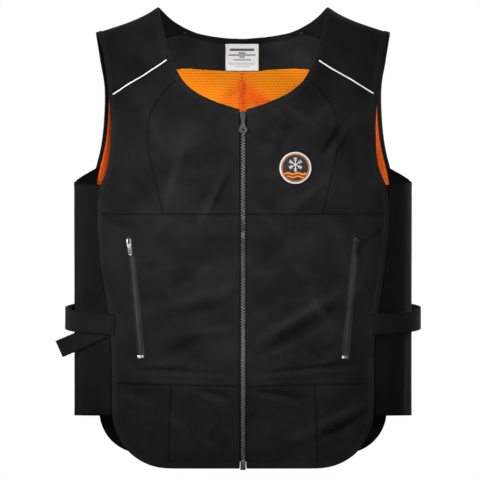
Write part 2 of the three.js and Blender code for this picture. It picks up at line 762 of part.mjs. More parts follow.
const lowerSeamSide = lowerSeam + LOWER_SEAM_RISE / 2;
const lowerSeamZip = lowerSeam - LOWER_SEAM_RISE / 2;
const hemSeamFoot = sideEdgeAcross(cornerTop) - FRONT_CORNER;
const chest = {
  centre: levelSeam(ZIP_EDGE, princess[0].x, chestSeam, chestSeam, FACET_COUNT.chestCentre),
  side: levelSeam(princess[0].x, sideEdgeAcross(chestSeam), chestSeam, chestSeam, FACET_COUNT.chestSide),
};
const lower = {
  centre: levelSeam(ZIP_EDGE, HEM_SEAM_TOP, lowerSeamZip, lowerSeam, FACET_COUNT.hemCentre),
  side: levelSeam(HEM_SEAM_TOP, sideEdgeAcross(lowerSeamSide), lowerSeam, lowerSeamSide, FACET_COUNT.hemSide),
};
const zipEdge = {
  chest: levelSeam(ZIP_EDGE, ZIP_EDGE, chestSeam, heightOf(neck.centre.at(-1)), FACET_COUNT.zipChest),
  waist: levelSeam(ZIP_EDGE, ZIP_EDGE, lowerSeamZip, chestSeam, FACET_COUNT.sideWaist),
  hem: levelSeam(ZIP_EDGE, ZIP_EDGE, -LENGTH, lowerSeamZip, FACET_COUNT.hemHeight),
};
const hemSeam = levelSeam(hemSeamFoot, HEM_SEAM_TOP, -LENGTH, lowerSeam, FACET_COUNT.hemHeight);
const hem = levelSeam(ZIP_EDGE, hemSeamFoot, -LENGTH, -LENGTH, FACET_COUNT.hemCentre);

function cornerArc(face, middle, middleZ, radius, from, to, facets) {
  return Array.from({ length: facets + 1 }, (_, i) => {
    const angle = THREE.MathUtils.lerp(from, to, i / facets);
    return onFace(face, middle + radius * Math.sin(angle), middleZ - radius * Math.cos(angle));
  });
}

const frontCorner = (from, to, facets) =>
  cornerArc(FRONT, hemSeamFoot, cornerTop, FRONT_CORNER, from * QUARTER, to * QUARTER, facets);
const side = {
  cornerFoot: frontCorner(0, 0.5, FACET_COUNT.cornerFoot),
  cornerSide: frontCorner(0.5, 1, FACET_COUNT.cornerSide),
  hem: sideEdgeRun(cornerTop, lowerSeamSide, FACET_COUNT.sideHem),
  waist: sideEdgeRun(lowerSeamSide, chestSeam, FACET_COUNT.sideWaist),
  upper: sideEdgeRun(chestSeam, sideTop, FACET_COUNT.sideUpper),
};

// Outer panels
const seamGap = SEAM_GAP / 2;
const boundGap = BINDING + SEAM_GAP;
const pipedGap = PIPING_RADIUS + SEAM_GAP;
const free = (places) => ({ places, gap: 0 });
const sewn = (places) => ({ places, gap: seamGap });
const bound = (places) => ({ places, gap: boundGap });
const piped = (places) => ({ places, gap: pipedGap });
const reversed = (places) => [...places].reverse();

const frontGrids = {
  yoke: panelGrid({
    bottom: [piped(pipingSeam)],
    right: [bound(arm.yokeFront), bound(arm.yokeBack)],
    top: [sewn(backYokeSeam)],
    left: [bound(reversed(neck.yokeFront)), bound(reversed(neck.yokeBack))],
  }),
  chest_centre: panelGrid({
    bottom: [sewn(chest.centre)],
    right: [sewn(princess)],
    top: [bound(reversed(neck.centre))],
    left: [free(zipEdge.chest)],
  }),
  chest_side: panelGrid({
    bottom: [sewn(chest.side)],
    right: [bound(side.upper), bound(arm.side)],
    top: [piped(pipingSeam)],
    left: [sewn(princess), bound(reversed(neck.side))],
  }),
  waist: panelGrid({
    bottom: [sewn(lower.centre), sewn(lower.side)],
    right: [bound(side.waist)],
    top: [sewn(chest.centre), sewn(chest.side)],
    left: [free(zipEdge.waist)],
  }),
  hem_centre: panelGrid({
    bottom: [bound(hem)],
    right: [sewn(hemSeam)],
    top: [sewn(lower.centre)],
    left: [free(zipEdge.hem)],
  }),
  hem_side: panelGrid({
    bottom: [bound(side.cornerFoot)],
    right: [bound(side.cornerSide), bound(side.hem)],
    top: [sewn(lower.side)],
    left: [sewn(hemSeam)],
  }),
};

const backCornerTop = -(BACK_LENGTH - BACK_CORNER);
const backCornerMiddle = backEdgeAcross(backCornerTop) - BACK_CORNER;
const backCorner = (from, to) => {
  const turns = [from * QUARTER, to * QUARTER];
  return cornerArc(BACK, backCornerMiddle, backCornerTop, BACK_CORNER, ...turns, FACET_COUNT.backCorner);
};
const backHem = Array.from({ length: FACET_COUNT.backHem + 1 }, (_, i) =>
  onFace(BACK, (backCornerMiddle * i) / FACET_COUNT.backHem, -BACK_LENGTH),
);
const backSide = Array.from({ length: FACET_COUNT.backSide + 1 }, (_, i) =>
  backEdgePlace(THREE.MathUtils.lerp(backCornerTop, -BACK_ARMHOLE_DROP, i / FACET_COUNT.backSide)),
);

function bothWays(run) {
  return chain(reversed(mirrored(run)), run);
}

const backFoot = chain(backHem, backCorner(0, 0.5));
const backEdge = [free(backCorner(0.5, 1)), sewn(backSide), bound(reversed(arm.lining))];
const lowerBack = panelGrid({
  bottom: [free(bothWays(backFoot))],
  right: backEdge,
  top: [sewn(bothWays(facingSeam))],
  left: backEdge.map((run) => ({ places: mirrored(run.places), gap: run.gap })),
});

const upperBack = panelGrid({
  bottom: [sewn(bothWays(facingSeam))],
  right: [bound(reversed(arm.facing))],
  top: [sewn(reversed(mirrored(backYokeSeam))), bound(bothWays(neck.back)), sewn(backYokeSeam)],
  left: [bound(mirrored(reversed(arm.facing)))],
});

// The back is cut in one piece, so its lower and upper grids meet in one row.
function backPanelGrid() {
  const seam = lowerBack.at(-1).map((place, i) => place.clone().lerp(upperBack[0][i], 0.5));
  return [...lowerBack.slice(0, -1), seam, ...upperBack.slice(1)];
}

// The mesh lining lies on the lower grid and stops a row above the back's rounded corners.
const liningGrid = lowerBack.slice(FACET_COUNT.backCorner + 1);

// Materials
function finish(color, roughness, metalness = 0) {
  return new THREE.MeshStandardMaterial({ color, roughness, metalness });
}

const materials = {
  cloth: () => finish(0x232323, 0.9),
  stretch: () => finish(0x161616, 0.85),
  binding: () => finish(0x2a2a2a, 0.8),
  mesh: () => finish(0xff8c14, 0.75),
  piping: () => finish(0xe6e4de, 0.45),
  webbing: () => finish(0x262626, 0.9),
  label: () => finish(0xeeeeea, 0.7),
  patch: () => finish(0xd8d8d4, 0.8),
  tape: () => finish(0x1c1c1c, 0.85),
  teeth: () => finish(0x8d8f92, 0.35, 1),
  coil: () => finish(0x3a3b3d, 0.5),
  hardware: () => finish(0x4a4b4e, 0.35, 1),
  bright: () => finish(0xc8cacc, 0.3, 1),
};

const vest = new THREE.Group();

function add(name, geometry, material) {
  const mesh = new THREE.Mesh(geometry, materials[material]());
  mesh.name = name;
  vest.add(mesh);
  return mesh;
}

const SIDES = [
  { name: "left", sign: 1 },
  { name: "right", sign: -1 },
];

function forSide(grid, sign) {
  return sign > 0 ? grid : grid.map(mirrored);
}

// Pocket zips: the slot in the waist panel, and what lies in and behind it
const pocketTop = chestSeam - POCKET_BELOW_CHEST;
const pocketFoot = lowerSeam + POCKET_ABOVE_LOWER_SEAM;
const pocketHeight = pocketTop - pocketFoot;

function pocketPlace(down, off) {
  const z = THREE.MathUtils.lerp(pocketTop, pocketFoot, down);
  const across = THREE.MathUtils.lerp(POCKET_TOP_ACROSS, POCKET_FOOT_ACROSS, down);
  const lean = (POCKET_TOP_ACROSS - POCKET_FOOT_ACROSS) / pocketHeight;
  return onFace(FRONT, across + off, z + off * -lean);
}

function pocketStrip(halfTop, halfFoot, from, to, rows) {
  return Array.from({ length: rows + 1 }, (_, i) => {
    const down = THREE.MathUtils.lerp(from, to, i / rows);
    const half = THREE.MathUtils.lerp(halfTop, halfFoot, down);
    return [pocketPlace(down, -half), pocketPlace(down, half)];
  });
}

function pocketSlot() {
  return pocketStrip(SLOT_TOP_WIDTH / 2, SLOT_FOOT_WIDTH / 2, 0, 1, FACET_COUNT.pocket);
}

// Sliders, made flat: X across, Y up the zip, Z away from the cloth, the origin on the cloth's inner face
function sliderGeometry({ width, height, face, back, post }) {
  const rightEdge = SLIDER_PLATE.map((row) => new THREE.Vector2((row.half * width) / 2, row.up * height));
  const outline = new THREE.Shape([...rightEdge, ...reversed(mirrored(rightEdge))]);
  const plateShape = new THREE.ExtrudeGeometry(outline, { depth: PLATE, bevelEnabled: false });
  const plate = (z) => plateShape.clone().translate(0, 0, z);
  const top = face + PLATE;
  const holeTop = top + 2 * PIVOT_CLEARANCE + PULL_THICKNESS;
  const crownTop = holeTop + CROWN_WALL;
  const from = -CROWN_HOLE_LENGTH / 2;
  const to = CROWN_HOLE_LENGTH / 2;
  const arch = new THREE.Shape([
    new THREE.Vector2(from - CROWN_WALL, face),
    new THREE.Vector2(from, face),
    new THREE.Vector2(from, holeTop),
    new THREE.Vector2(to, holeTop),
    new THREE.Vector2(to, face),
    new THREE.Vector2(to + CROWN_WALL, face),
    new THREE.Vector2(to + CROWN_WALL, holeTop),
    new THREE.Vector2(to, crownTop),
    new THREE.Vector2(from, crownTop),
    new THREE.Vector2(from - CROWN_WALL, holeTop),
  ]);
  const upright = new THREE.Matrix4().makeBasis(
    new THREE.Vector3(0, 1, 0),
    new THREE.Vector3(0, 0, 1),
    new THREE.Vector3(1, 0, 0),
  );
  const crown = new THREE.ExtrudeGeometry(arch, { depth: CROWN_WIDTH, bevelEnabled: false })
    .translate(0, 0, -CROWN_WIDTH / 2)
    .applyMatrix4(upright);
  const pieces = [plate(face), crown];
  if (post) {
    pieces.push(plate(back - PLATE));
    const low = new THREE.Vector3(-post / 2, height / 2 - post * 1.5, back - PLATE / 2);
    pieces.push(blockBetween(low, new THREE.Vector3(post / 2, height / 2 - post / 4, face + PLATE / 2)));
  }
  return joinedOf(pieces);
}

function pivotOf(face) {
  const y = CROWN_HOLE_LENGTH / 2 - PIVOT_CLEARANCE - PULL_BRIDGE / 2;
  return new THREE.Vector3(0, y, face + PLATE + PIVOT_CLEARANCE + PULL_THICKNESS / 2);
}

// A pull, made flat, hanging from the origin down -Y
function pullGeometry({ length, width, rows, hole, holeDown }) {
  const half = width / 2;
  const legInner = CROWN_WIDTH / 2 + PULL_LEG_GAP;
  const legOuter = Math.max(legInner + PULL_BRIDGE, half * rows[0].half);
  const rightEdge = rows.map((row) => {
    const least = row.down < PULL_LEG_SHARE ? legOuter : 0;
    return new THREE.Vector2(Math.max(least, row.half * half), -row.down * length);
  });
  rightEdge.unshift(new THREE.Vector2(legOuter, PULL_BRIDGE / 2));
  const outline = new THREE.Shape([...rightEdge, ...reversed(mirrored(rightEdge))]);
  const windowFoot = -(CROWN_HOLE_LENGTH + CROWN_WALL + PIVOT_CLEARANCE);
  const plate = new THREE.ExtrudeGeometry(outline, { depth: PULL_THICKNESS, bevelEnabled: false })
    .translate(0, 0, -PULL_THICKNESS / 2);
  const window = blockBetween(
    new THREE.Vector3(-legInner, windowFoot, -PULL_THICKNESS),
    new THREE.Vector3(legInner, -PULL_BRIDGE / 2, PULL_THICKNESS),
  );
  const ring = new THREE.CylinderGeometry(hole, hole, 2 * PULL_THICKNESS, FACET_COUNT.pullHole)
    .rotateX(QUARTER)
    .translate(0, -holeDown * length, 0);
  return cutBy(cutBy(plate, window), ring);
}

// A frame on the cloth: X across the zip, Y up it and Z out.
function frameOn(place, above) {
  const out = slopes(bodyPoint, place).out;
  const origin = bodyPoint(place).addScaledVector(out, foldAt(place));
  const up = bodyPoint(above).sub(bodyPoint(place));
  up.addScaledVector(out, -up.dot(out)).normalize();
  const across = new THREE.Vector3().crossVectors(up, out);
  return new THREE.Matrix4().makeBasis(across, up, out).setPosition(origin);
}

function addSliderAndPull(names, frame, sizes, pull) {
  add(names.slider, sliderGeometry(sizes), "hardware").applyMatrix4(frame);
  const pivot = pivotOf(sizes.face);
  const hung = frame.clone().multiply(new THREE.Matrix4().makeTranslation(pivot.x, pivot.y, pivot.z));
  add(names.pull, pullGeometry(pull), "hardware").applyMatrix4(hung);
}

// Fronts
for (const { name, sign } of SIDES) {
  for (const [panel, grid] of Object.entries(frontGrids)) {
    let geometry = wall(forSide(grid, sign), 0, CLOTH);
    if (panel === "waist") {
      geometry = cutBy(geometry, wall(forSide(pocketSlot(), sign), -SLOT_CUT, CLOTH + SLOT_CUT));
    }
    add(`${panel}_${name}`, geometry, "cloth");
  }
}

// Back, facing and lining
add("back_panel", wall(backPanelGrid(), 0, CLOTH), "cloth");
add("back_facing", wall(upperBack, -SEAM_GAP - LINING, -SEAM_GAP), "cloth");
add("back_lining", wall(liningGrid, -SEAM_GAP - LINING, -SEAM_GAP), "mesh");

// Bindings wrap the neckline, the armholes and the side edges with the hem.
function shortened(places, startGap, endGap) {
  const pulled = [...places];
  const from = (a, b, gap) => {
    const span = bodyPoint(a).distanceTo(bodyPoint(b));
    return a.clone().lerp(b, gap / span);
  };
  if (startGap) pulled[0] = from(places[0], places[1], startGap);
  if (endGap) pulled[pulled.length - 1] = from(places.at(-1), places.at(-2), endGap);
  return pulled;
}

function addBinding(name, sign, places, ends, endGaps) {
  const grid = [places, setIn(places, BINDING, ends)].map((line) => shortened(line, ...endGaps));
  add(name, wall(forSide(grid, sign), -BINDING_PROUD, CLOTH + BINDING_PROUD), "binding");
}

const halfNeck = chain(neck.back, neck.yokeBack, neck.yokeFront, neck.side, neck.centre);
const zipBelowNeck = zipEdge.chest.at(-2);
const neckEnds = { before: mirrored([zipBelowNeck])[0], beforeGap: 0, after: zipBelowNeck, afterGap: 0 };
addBinding("neck_binding", 1, bothWays(halfNeck), neckEnds, [0, 0]);
const armEdge = chain(arm.side, arm.yokeFront, arm.yokeBack, arm.facing, arm.lining);
const armEnds = { before: side.upper.at(-2), after: backSide.at(-2) };
const frontEdge = chain(hem, side.cornerFoot, side.cornerSide, side.hem, side.waist, side.upper);
const frontEnds = { before: zipEdge.hem[1], beforeGap: 0, after: arm.side[1] };
for (const { name, sign } of SIDES) {
  addBinding(`armhole_binding_${name}`, sign, armEdge, armEnds, [seamGap, seamGap]);
  addBinding(`edge_binding_${name}`, sign, frontEdge, frontEnds, [0, seamGap]);
}

// Piping lies in the yoke seam, from binding to binding.
for (const { name, sign } of SIDES) {
  const endGap = boundGap + BINDING_PROUD;
  const places = shortened(pipingSeam, endGap, endGap);
  const seated = sign > 0 ? places : mirrored(places);
  add(`piping_${name}`, rod(seated, PIPING_RADIUS, CLOTH - BINDING_PROUD), "piping");
}

// Stretch side panels, from the front's side edge round to the back's.
for (const { name, sign } of SIDES) {
  const rowsDown = [...side.upper].reverse().concat([...side.waist].reverse().slice(1)).map(heightOf);
  const foot = -SIDE_PANEL_FOOT;
  const levels = rowsDown.filter((z) => z > foot + SEAM_GAP).concat(foot);
  const frontTop = -(ARMHOLE_DROP - SIDE_PANEL_TOP);
  const grid = levels.map((level, r) =>
    Array.from({ length: FACET_COUNT.sidePanel + 1 }, (_, c) => {
      const round = c / FACET_COUNT.sidePanel;
      const mouth = frontTop + (ARMHOLE_DROP - BACK_ARMHOLE_DROP) * through(MOUTH, "round", "rise", round);
      const fade = Math.max(0, 1 - r / FACET_COUNT.sideMouth);
      const height = r === 0 ? mouth - SEAM_GAP : level + (mouth - frontTop) * fade;
      const edge = Math.max(height, cornerTop);
      const start = roundSide(sideEdgeAcross(Math.min(edge, sideTop)), FRONT) + SIDE_CLEARANCE;
      const end = roundSide(backEdgeAcross(Math.min(height, -BACK_ARMHOLE_DROP)), BACK) - SIDE_CLEARANCE;
      return new THREE.Vector2(THREE.MathUtils.lerp(start, end, round), height);
    }),
  );
  const surface = (place, lift) => onSide(sign, place.x, place.y, lift - SIDE_SET_IN);
  add(`side_panel_${name}`, wall(grid, 0, STRETCH_CLOTH, surface), "stretch");
}

// Centre zip
const zipBottom = -(LENGTH + ZIP_BOX_BELOW_HEM - ZIP_BOX_HEIGHT);
const zipTop = heightOf(neck.centre.at(-1)) - ZIP_TOP_GAP;
const zipLevels = [
  zipBottom,
  ...[...zipEdge.hem, ...zipEdge.waist.slice(1), ...zipEdge.chest.slice(1)]
    .map(heightOf)
    .filter((z) => z > zipBottom + SEAM_GAP && z < zipTop - SEAM_GAP),
  zipTop,
];
const zipStrip = (low, high, levels) =>
  levels.map((z) => [onFace(FRONT, low, z), onFace(FRONT, high, z)]);
add("zip_chain", wall(zipStrip(-CHAIN_HALF, CHAIN_HALF, zipLevels), -CHAIN_BACK, CHAIN_FACE), "teeth");
for (const { name, sign } of SIDES) {
  const grid = forSide(zipStrip(CHAIN_HALF + SEAM_GAP, TAPE_REACH, zipLevels), sign);
  add(`zip_tape_${name}`, wall(grid, -SEAM_GAP - TAPE, -SEAM_GAP), "tape");
}
const boxLevels = [-(LENGTH + ZIP_BOX_BELOW_HEM), zipBottom - SEAM_GAP];
add("zip_box", wall(zipStrip(-ZIP_BOX_HALF, ZIP_BOX_HALF, boxLevels), -CHAIN_BACK, CHAIN_FACE), "hardware");
const sliderZ = heightOf(neck.centre.at(-1)) - SLIDER_TOP_GAP - SLIDER_HEIGHT / 2;
addSliderAndPull(
  { slider: "zip_slider", pull: "zip_pull" },
  frameOn(onFace(FRONT, 0, sliderZ), onFace(FRONT, 0, sliderZ + SLIDER_HEIGHT)),
  {
    width: SLIDER_WIDTH,
    height: SLIDER_HEIGHT,
    face: CHAIN_FACE + SLIDER_CLEARANCE,
    back: -CHAIN_BACK - SLIDER_CLEARANCE,
    post: SLIDER_POST,
  },
  {
    length: PULL_LENGTH,
    width: PULL_WIDTH,
    rows: RING_PULL,
    hole: PULL_HOLE_RADIUS,
    holeDown: PULL_HOLE_DOWN,
  },
);

// Pocket zips
for (const { name, sign } of SIDES) {
  const place = (down, off) => {
    const at = pocketPlace(down, off);
    return new THREE.Vector2(sign * at.x, at.y);
  };
  const margin = POCKET_TAPE_WIDTH / 4 / pocketHeight;
  const tapeHalf = POCKET_TAPE_WIDTH / 2;
  const tape = pocketStrip(tapeHalf, tapeHalf, -margin, 1 + margin, FACET_COUNT.pocket);
  const tapeWall = wall(forSide(tape, sign), -POCKET_TAPE_DEPTH, -POCKET_TAPE_DEPTH + TAPE);
  add(`pocket_tape_${name}`, tapeWall, "tape");
  const stopTop = 1 - (STOP_HEIGHT + SEAM_GAP) / pocketHeight;
  const coilHalf = COIL_WIDTH / 2;
  const gap = SEAM_GAP / pocketHeight;
  const coil = pocketStrip(coilHalf, coilHalf, gap, stopTop - gap, FACET_COUNT.pocket);
  add(`pocket_coil_${name}`, wall(forSide(coil, sign), -COIL_BACK, COIL_FACE), "coil");
  const stop = pocketStrip(STOP_WIDTH / 2, STOP_WIDTH / 2, stopTop, 1 - gap, 1);
  add(`pocket_stop_${name}`, wall(forSide(stop, sign), -COIL_BACK, STOP_FACE), "bright");
  const sliderDown = (SEAM_GAP + POCKET_SLIDER_HEIGHT / 2) / pocketHeight;
  addSliderAndPull(
    { slider: `pocket_slider_${name}`, pull: `pocket_pull_${name}` },
    frameOn(place(sliderDown, 0), place(0, 0)),
    {
      width: POCKET_SLIDER_WIDTH,
      height: POCKET_SLIDER_HEIGHT,
      face: COIL_FACE + SLIDER_CLEARANCE,
    },
    {
      length: POCKET_PULL_LENGTH,
      width: POCKET_PULL_WIDTH,
      rows: TAB_PULL,
      hole: POCKET_PULL_HOLE_RADIUS,
      holeDown: POCKET_PULL_HOLE_DOWN,
    },
  );
}

// Side straps: a band from the front's side edge, bowed out round the side, to the back.
for (const { name, sign } of SIDES) {
  const start = roundSide(HALF_WIDTH - STRAP_FRONT_INSET, FRONT);
  const end = roundSide(HALF_WIDTH - STRAP_BACK_INSET, BACK);
  const grid = Array.from({ length: FACET_COUNT.strap + 1 }, (_, i) => {
    const share = i / FACET_COUNT.strap;
    const rise = STRAP_RISE * (0.5 - 0.5 * Math.cos(Math.PI * share));
    const middle = -STRAP_DROP + rise;
    return [-0.5, 0, 0.5].map((off) => new THREE.Vector2(share, middle + off * STRAP_WIDTH));
  });
  const surface = (place, lift) => {
    const bow = STRAP_LIFT + (STRAP_BOW - STRAP) * Math.sin(Math.PI * place.x) ** 2;
    return onSide(sign, THREE.MathUtils.lerp(start, end, place.x), place.y, lift + bow);
  };
  add(`strap_${name}`, wall(grid, 0, STRAP, surface), "webbing");
}

// The wearer's right strap leaves a loose tail, which runs straight on from the side panel.
function tailSurface(place, lift) {
  const length = Math.hypot(TAIL_REACH, TAIL_FALL);
  const end = HALF_WIDTH - TAIL_LEAVES_INSET;
  const off = place.y * TAIL_WIDTH;
  const across = HALF_WIDTH - TAIL_ROOT_INSET + TAIL_REACH * place.x + (off * TAIL_FALL) / length;
  const z = -STRAP_DROP - TAIL_DROP_BELOW_STRAP - TAIL_FALL * place.x + (off * TAIL_REACH) / length;
  const at = (x) => onSide(-1, roundSide(x, FRONT), z, lift);
  const leaves = Math.min(across, end);
  const heading = at(end).sub(at(end - 1));
  return at(leaves).addScaledVector(heading, across - leaves);
}
const tailGrid = Array.from({ length: FACET_COUNT.tail + 1 }, (_, i) =>
  [-0.5, 0.5].map((off) => new THREE.Vector2(i / FACET_COUNT.tail, off)),
);
add("strap_tail_right", wall(tailGrid, TAIL_LIFT, TAIL_LIFT + STRAP, tailSurface), "webbing");

// Neck label, on the facing below the back neckline
const labelTop = -BACK_NECK_DROP - BINDING - SEAM_GAP;
const labelGrid = Array.from({ length: FACET_COUNT.labelDown + 1 }, (_, r) =>
  Array.from({ length: FACET_COUNT.labelAcross + 1 }, (_, c) => {
    const across = LABEL_ACROSS + LABEL_WIDTH * (c / FACET_COUNT.labelAcross - 0.5);
    return onFace(BACK, across, labelTop - LABEL_HEIGHT * (1 - r / FACET_COUNT.labelDown));
  }),
);
const labelLift = -SEAM_GAP - LINING - LABEL_GAP;
add("neck_label", wall(labelGrid, labelLift - LABEL_THICKNESS, labelLift), "label");

// Chest badge, a round patch on the wearer's left: a square of places drawn out into a disc
const badgeZ = -FRONT_NECK_DROP - BADGE_BELOW_NECKLINE;
const badgeGrid = Array.from({ length: FACET_COUNT.badge + 1 }, (_, r) =>
  Array.from({ length: FACET_COUNT.badge + 1 }, (_, c) => {
    const u = (2 * c) / FACET_COUNT.badge - 1;
    const v = (2 * r) / FACET_COUNT.badge - 1;
    const across = BADGE_ACROSS + BADGE_RADIUS * u * Math.sqrt(1 - (v * v) / 2);
    return onFace(FRONT, across, badgeZ + BADGE_RADIUS * v * Math.sqrt(1 - (u * u) / 2));
  }),
);
add("chest_badge", wall(badgeGrid, CLOTH + BADGE_GAP, CLOTH + BADGE_GAP + BADGE_THICKNESS), "patch");

export default vest;
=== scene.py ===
# %% [markdown]
# A work vest with a zip front, dressed for a studio picture. The measured model of the vest is loaded
# first. It holds the size and the place of every panel, binding, strap and zip, and nothing in it is moved.
# Each piece below starts from the place of its plain stand-in and gets its cloth, folds, stitches or metal.

# %% Load the measured vest
import math
import random
from collections import namedtuple

import bmesh
import bpy
import numpy as np
from mathutils import Matrix, Vector, noise
from mathutils.bvhtree import BVHTree
from mathutils.kdtree import KDTree


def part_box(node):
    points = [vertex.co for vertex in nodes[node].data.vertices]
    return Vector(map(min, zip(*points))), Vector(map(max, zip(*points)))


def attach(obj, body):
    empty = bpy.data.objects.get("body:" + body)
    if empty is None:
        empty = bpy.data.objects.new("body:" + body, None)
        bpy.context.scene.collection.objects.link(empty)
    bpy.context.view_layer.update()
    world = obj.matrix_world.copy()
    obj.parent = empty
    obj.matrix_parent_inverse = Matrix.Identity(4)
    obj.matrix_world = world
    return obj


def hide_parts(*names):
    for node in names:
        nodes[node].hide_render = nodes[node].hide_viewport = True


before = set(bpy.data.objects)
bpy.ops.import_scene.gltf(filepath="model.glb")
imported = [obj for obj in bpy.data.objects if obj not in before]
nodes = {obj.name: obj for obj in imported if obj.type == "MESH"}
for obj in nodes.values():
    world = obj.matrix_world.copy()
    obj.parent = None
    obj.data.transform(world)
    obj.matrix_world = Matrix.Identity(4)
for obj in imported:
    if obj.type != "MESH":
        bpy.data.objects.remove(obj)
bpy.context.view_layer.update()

MM = 0.001
SIDES = {"left": 1, "right": -1}

# %% [markdown]
# The camera comes first, because every later choice is judged through it. A catalogue picture of a garment
# is taken from far away with a long lens, so that the sides don't turn away. The lens follows from the
# width of the view at the front of the vest.

# %% Camera
VIEW_WIDTH = 0.7152
VIEW_MIDDLE = (-0.0045, -0.3472)
CAMERA_DISTANCE = 30.0
SENSOR = 36.0


def added(operator, **settings):
    """The object that one of Blender's add commands makes."""
    bpy.ops.object.select_all(action="DESELECT")
    operator(**settings)
    return bpy.context.active_object


front_depth = -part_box("zip_chain")[0].y
camera = added(
    bpy.ops.object.camera_add,
    location=(VIEW_MIDDLE[0], -CAMERA_DISTANCE, VIEW_MIDDLE[1]),
    rotation=(math.pi / 2, 0, 0),
)
camera.data.sensor_width = SENSOR
camera.data.lens = SENSOR * (CAMERA_DISTANCE - front_depth) / VIEW_WIDTH
camera.data.clip_end = 2 * CAMERA_DISTANCE
bpy.context.scene.camera = camera
print("lens:", round(camera.data.lens, 1))

# %% [markdown]
# Black cloth shows its folds only by light that grazes it, so the room is dim for the cloth and bright
# behind it. A narrow key light stands far to the side, a second one in front, and a weak one lights the
# inside of the neck. Each narrow light is a box with a small spread. Broad lights stand behind the vest.

# %% Studio
ROOM_LIGHT = 0.1
BODY = (0, -0.1, -0.34)
NECK = (0, 0.09, -0.11)

Softbox = namedtuple("Softbox", "name place size power spread aim")
SOFTBOXES = [
    Softbox("key", (-2.15, -1.8, 0.25), 0.45, 1.6, 22, BODY),
    Softbox("front", (0.1, -3.0, -0.1), 0.5, 1.15, 16, BODY),
    Softbox("neck", (0.0, -2.6, 1.3), 0.3, 0.15, 12, NECK),
    Softbox("back", (1.5, 2.4, 0.5), 0.8, 2.6, 40, BODY),
    Softbox("left_back", (2.2, 1.4, 0.1), 1.2, 5, 180, BODY),
    Softbox("right_back", (-2.2, 1.4, 0.1), 1.2, 9, 180, BODY),
]
for box in SOFTBOXES:
    turn = (Vector(box.aim) - Vector(box.place)).to_track_quat("-Z", "Y").to_euler()
    lamp = added(bpy.ops.object.light_add, type="AREA", location=box.place, rotation=turn)
    lamp.name = f"softbox_{box.name}"
    lamp.data.size = box.size
    lamp.data.energy = box.power
    lamp.data.spread = math.radians(box.spread)

world = bpy.data.worlds.new("studio")
world.use_nodes = True
bpy.context.scene.world = world
bpy.context.scene.view_settings.view_transform = "Standard"
room = world.node_tree
mix = room.nodes.new("ShaderNodeMixShader")
seen = room.nodes.new("ShaderNodeLightPath")
room.links.new(seen.outputs["Is Camera Ray"], mix.inputs[0])
for socket, strength in ((1, ROOM_LIGHT), (2, 1.0)):
    background = room.nodes.new("ShaderNodeBackground")
    background.inputs["Color"].default_value = (1, 1, 1, 1)
    background.inputs["Strength"].default_value = strength
    room.links.new(background.outputs[0], mix.inputs[socket])
room.links.new(mix.outputs[0], room.nodes["World Output"].inputs["Surface"])
print("lights:", [box.name for box in SOFTBOXES])


# %% [markdown]
# Materials are small networks of nodes, and most of them need the same few steps: noise, a weave, a bump.
# A short class adds a node and sets its values, so that each material below reads as a list of what the
# real finish has. Lengths in a pattern are given in millimetres and turned into scales.

# %% Helpers for materials
class Finish:
    """A material in the making, with the steps that most finishes share."""

    def __init__(self, name, color, roughness, **settings):
        self.material = bpy.data.materials.new(name)
        self.material.use_nodes = True
        self.tree = self.material.node_tree
        self.shader = self.tree.nodes["Principled BSDF"]
        self.paint((*color, 1), roughness)
        for socket, value in settings.items():
            self.feed(value, self.shader.inputs[socket.replace("_", " ")])
        self.place = self.node("TexCoord")["Object"]

    def feed(self, value, socket):
        if isinstance(value, bpy.types.NodeSocket):
            self.tree.links.new(value, socket)
        else:
            socket.default_value = value

    def paint(self, color, roughness=None):
        self.feed(color, self.shader.inputs["Base Color"])
        if roughness is not None:
            self.feed(roughness, self.shader.inputs["Roughness"])

    def node(self, kind, inputs=(), **settings):
        made = self.tree.nodes.new(f"ShaderNode{kind}")
        for key, value in settings.items():
            setattr(made, key, value)
        for socket, value in dict(inputs).items():
            self.feed(value, made.inputs[socket])
        return made.outputs

    def maths(self, operation, *values):
        return self.node("Math", enumerate(values), operation=operation)[0]

    def times(self, first, *others):
        for value in others:
            first = self.maths("MULTIPLY", first, value)
        return first

    def blend(self, factor, low, high):
        colors = [color if isinstance(color, bpy.types.NodeSocket) else (*color, 1) for color in (low, high)]
        return self.node("Mix", {0: factor, 6: colors[0], 7: colors[1]}, data_type="RGBA")[2]

    def remap(self, value, low, high, to_low, to_high):
        sockets = ("Value", "From Min", "From Max", "To Min", "To Max")
        return self.node("MapRange", zip(sockets, (value, low, high, to_low, to_high)))[0]

    def noise(self, size_mm, detail=3.0):
        return self.node("TexNoise", {"Vector": self.place, "Detail": detail, "Scale": 1000 / size_mm})[0]

    def wave(self, coordinate, pitch_mm):
        return self.maths("SINE", self.times(coordinate, 2 * math.pi * 1000 / pitch_mm))

    def attribute(self, name):
        return self.node("Attribute", attribute_name=name)["Fac"]

    def flat(self):
        """The two coordinates of the cloth's flat map."""
        return self.node("SeparateXYZ", {"Vector": self.node("UVMap", uv_map="cloth")[0]})[:2]

    def bump(self, height, depth_mm):
        made = self.node("Bump", {"Height": height, "Strength": 1.0, "Distance": depth_mm * MM})
        self.feed(made[0], self.shader.inputs["Normal"])


def shade(color, factor):
    return tuple(min(1.0, channel * factor) for channel in color)


# %% [markdown]
# The vest is cut from a matt black cotton. Its threads cross at about half a millimetre, and its colour is
# slightly uneven as if brushed. Painted light shows its folds: a painted highlight where a fold stands up
# and painted shade in its hollows. It is dark where it turns into a seam. The threads follow the cloth, so
# they are drawn on each piece's own flat map. Seams and folds come from the attributes edge and ridge,
# which each piece gets when it is made.

# %% Cloth finishes
# How far the painted light on the folds lifts their tops and darkens their hollows.
FOLD_PAINTED_LIGHT = 0.5
UNEVEN = 0.28
FUZZ = 1.1
BRUSHED = 46


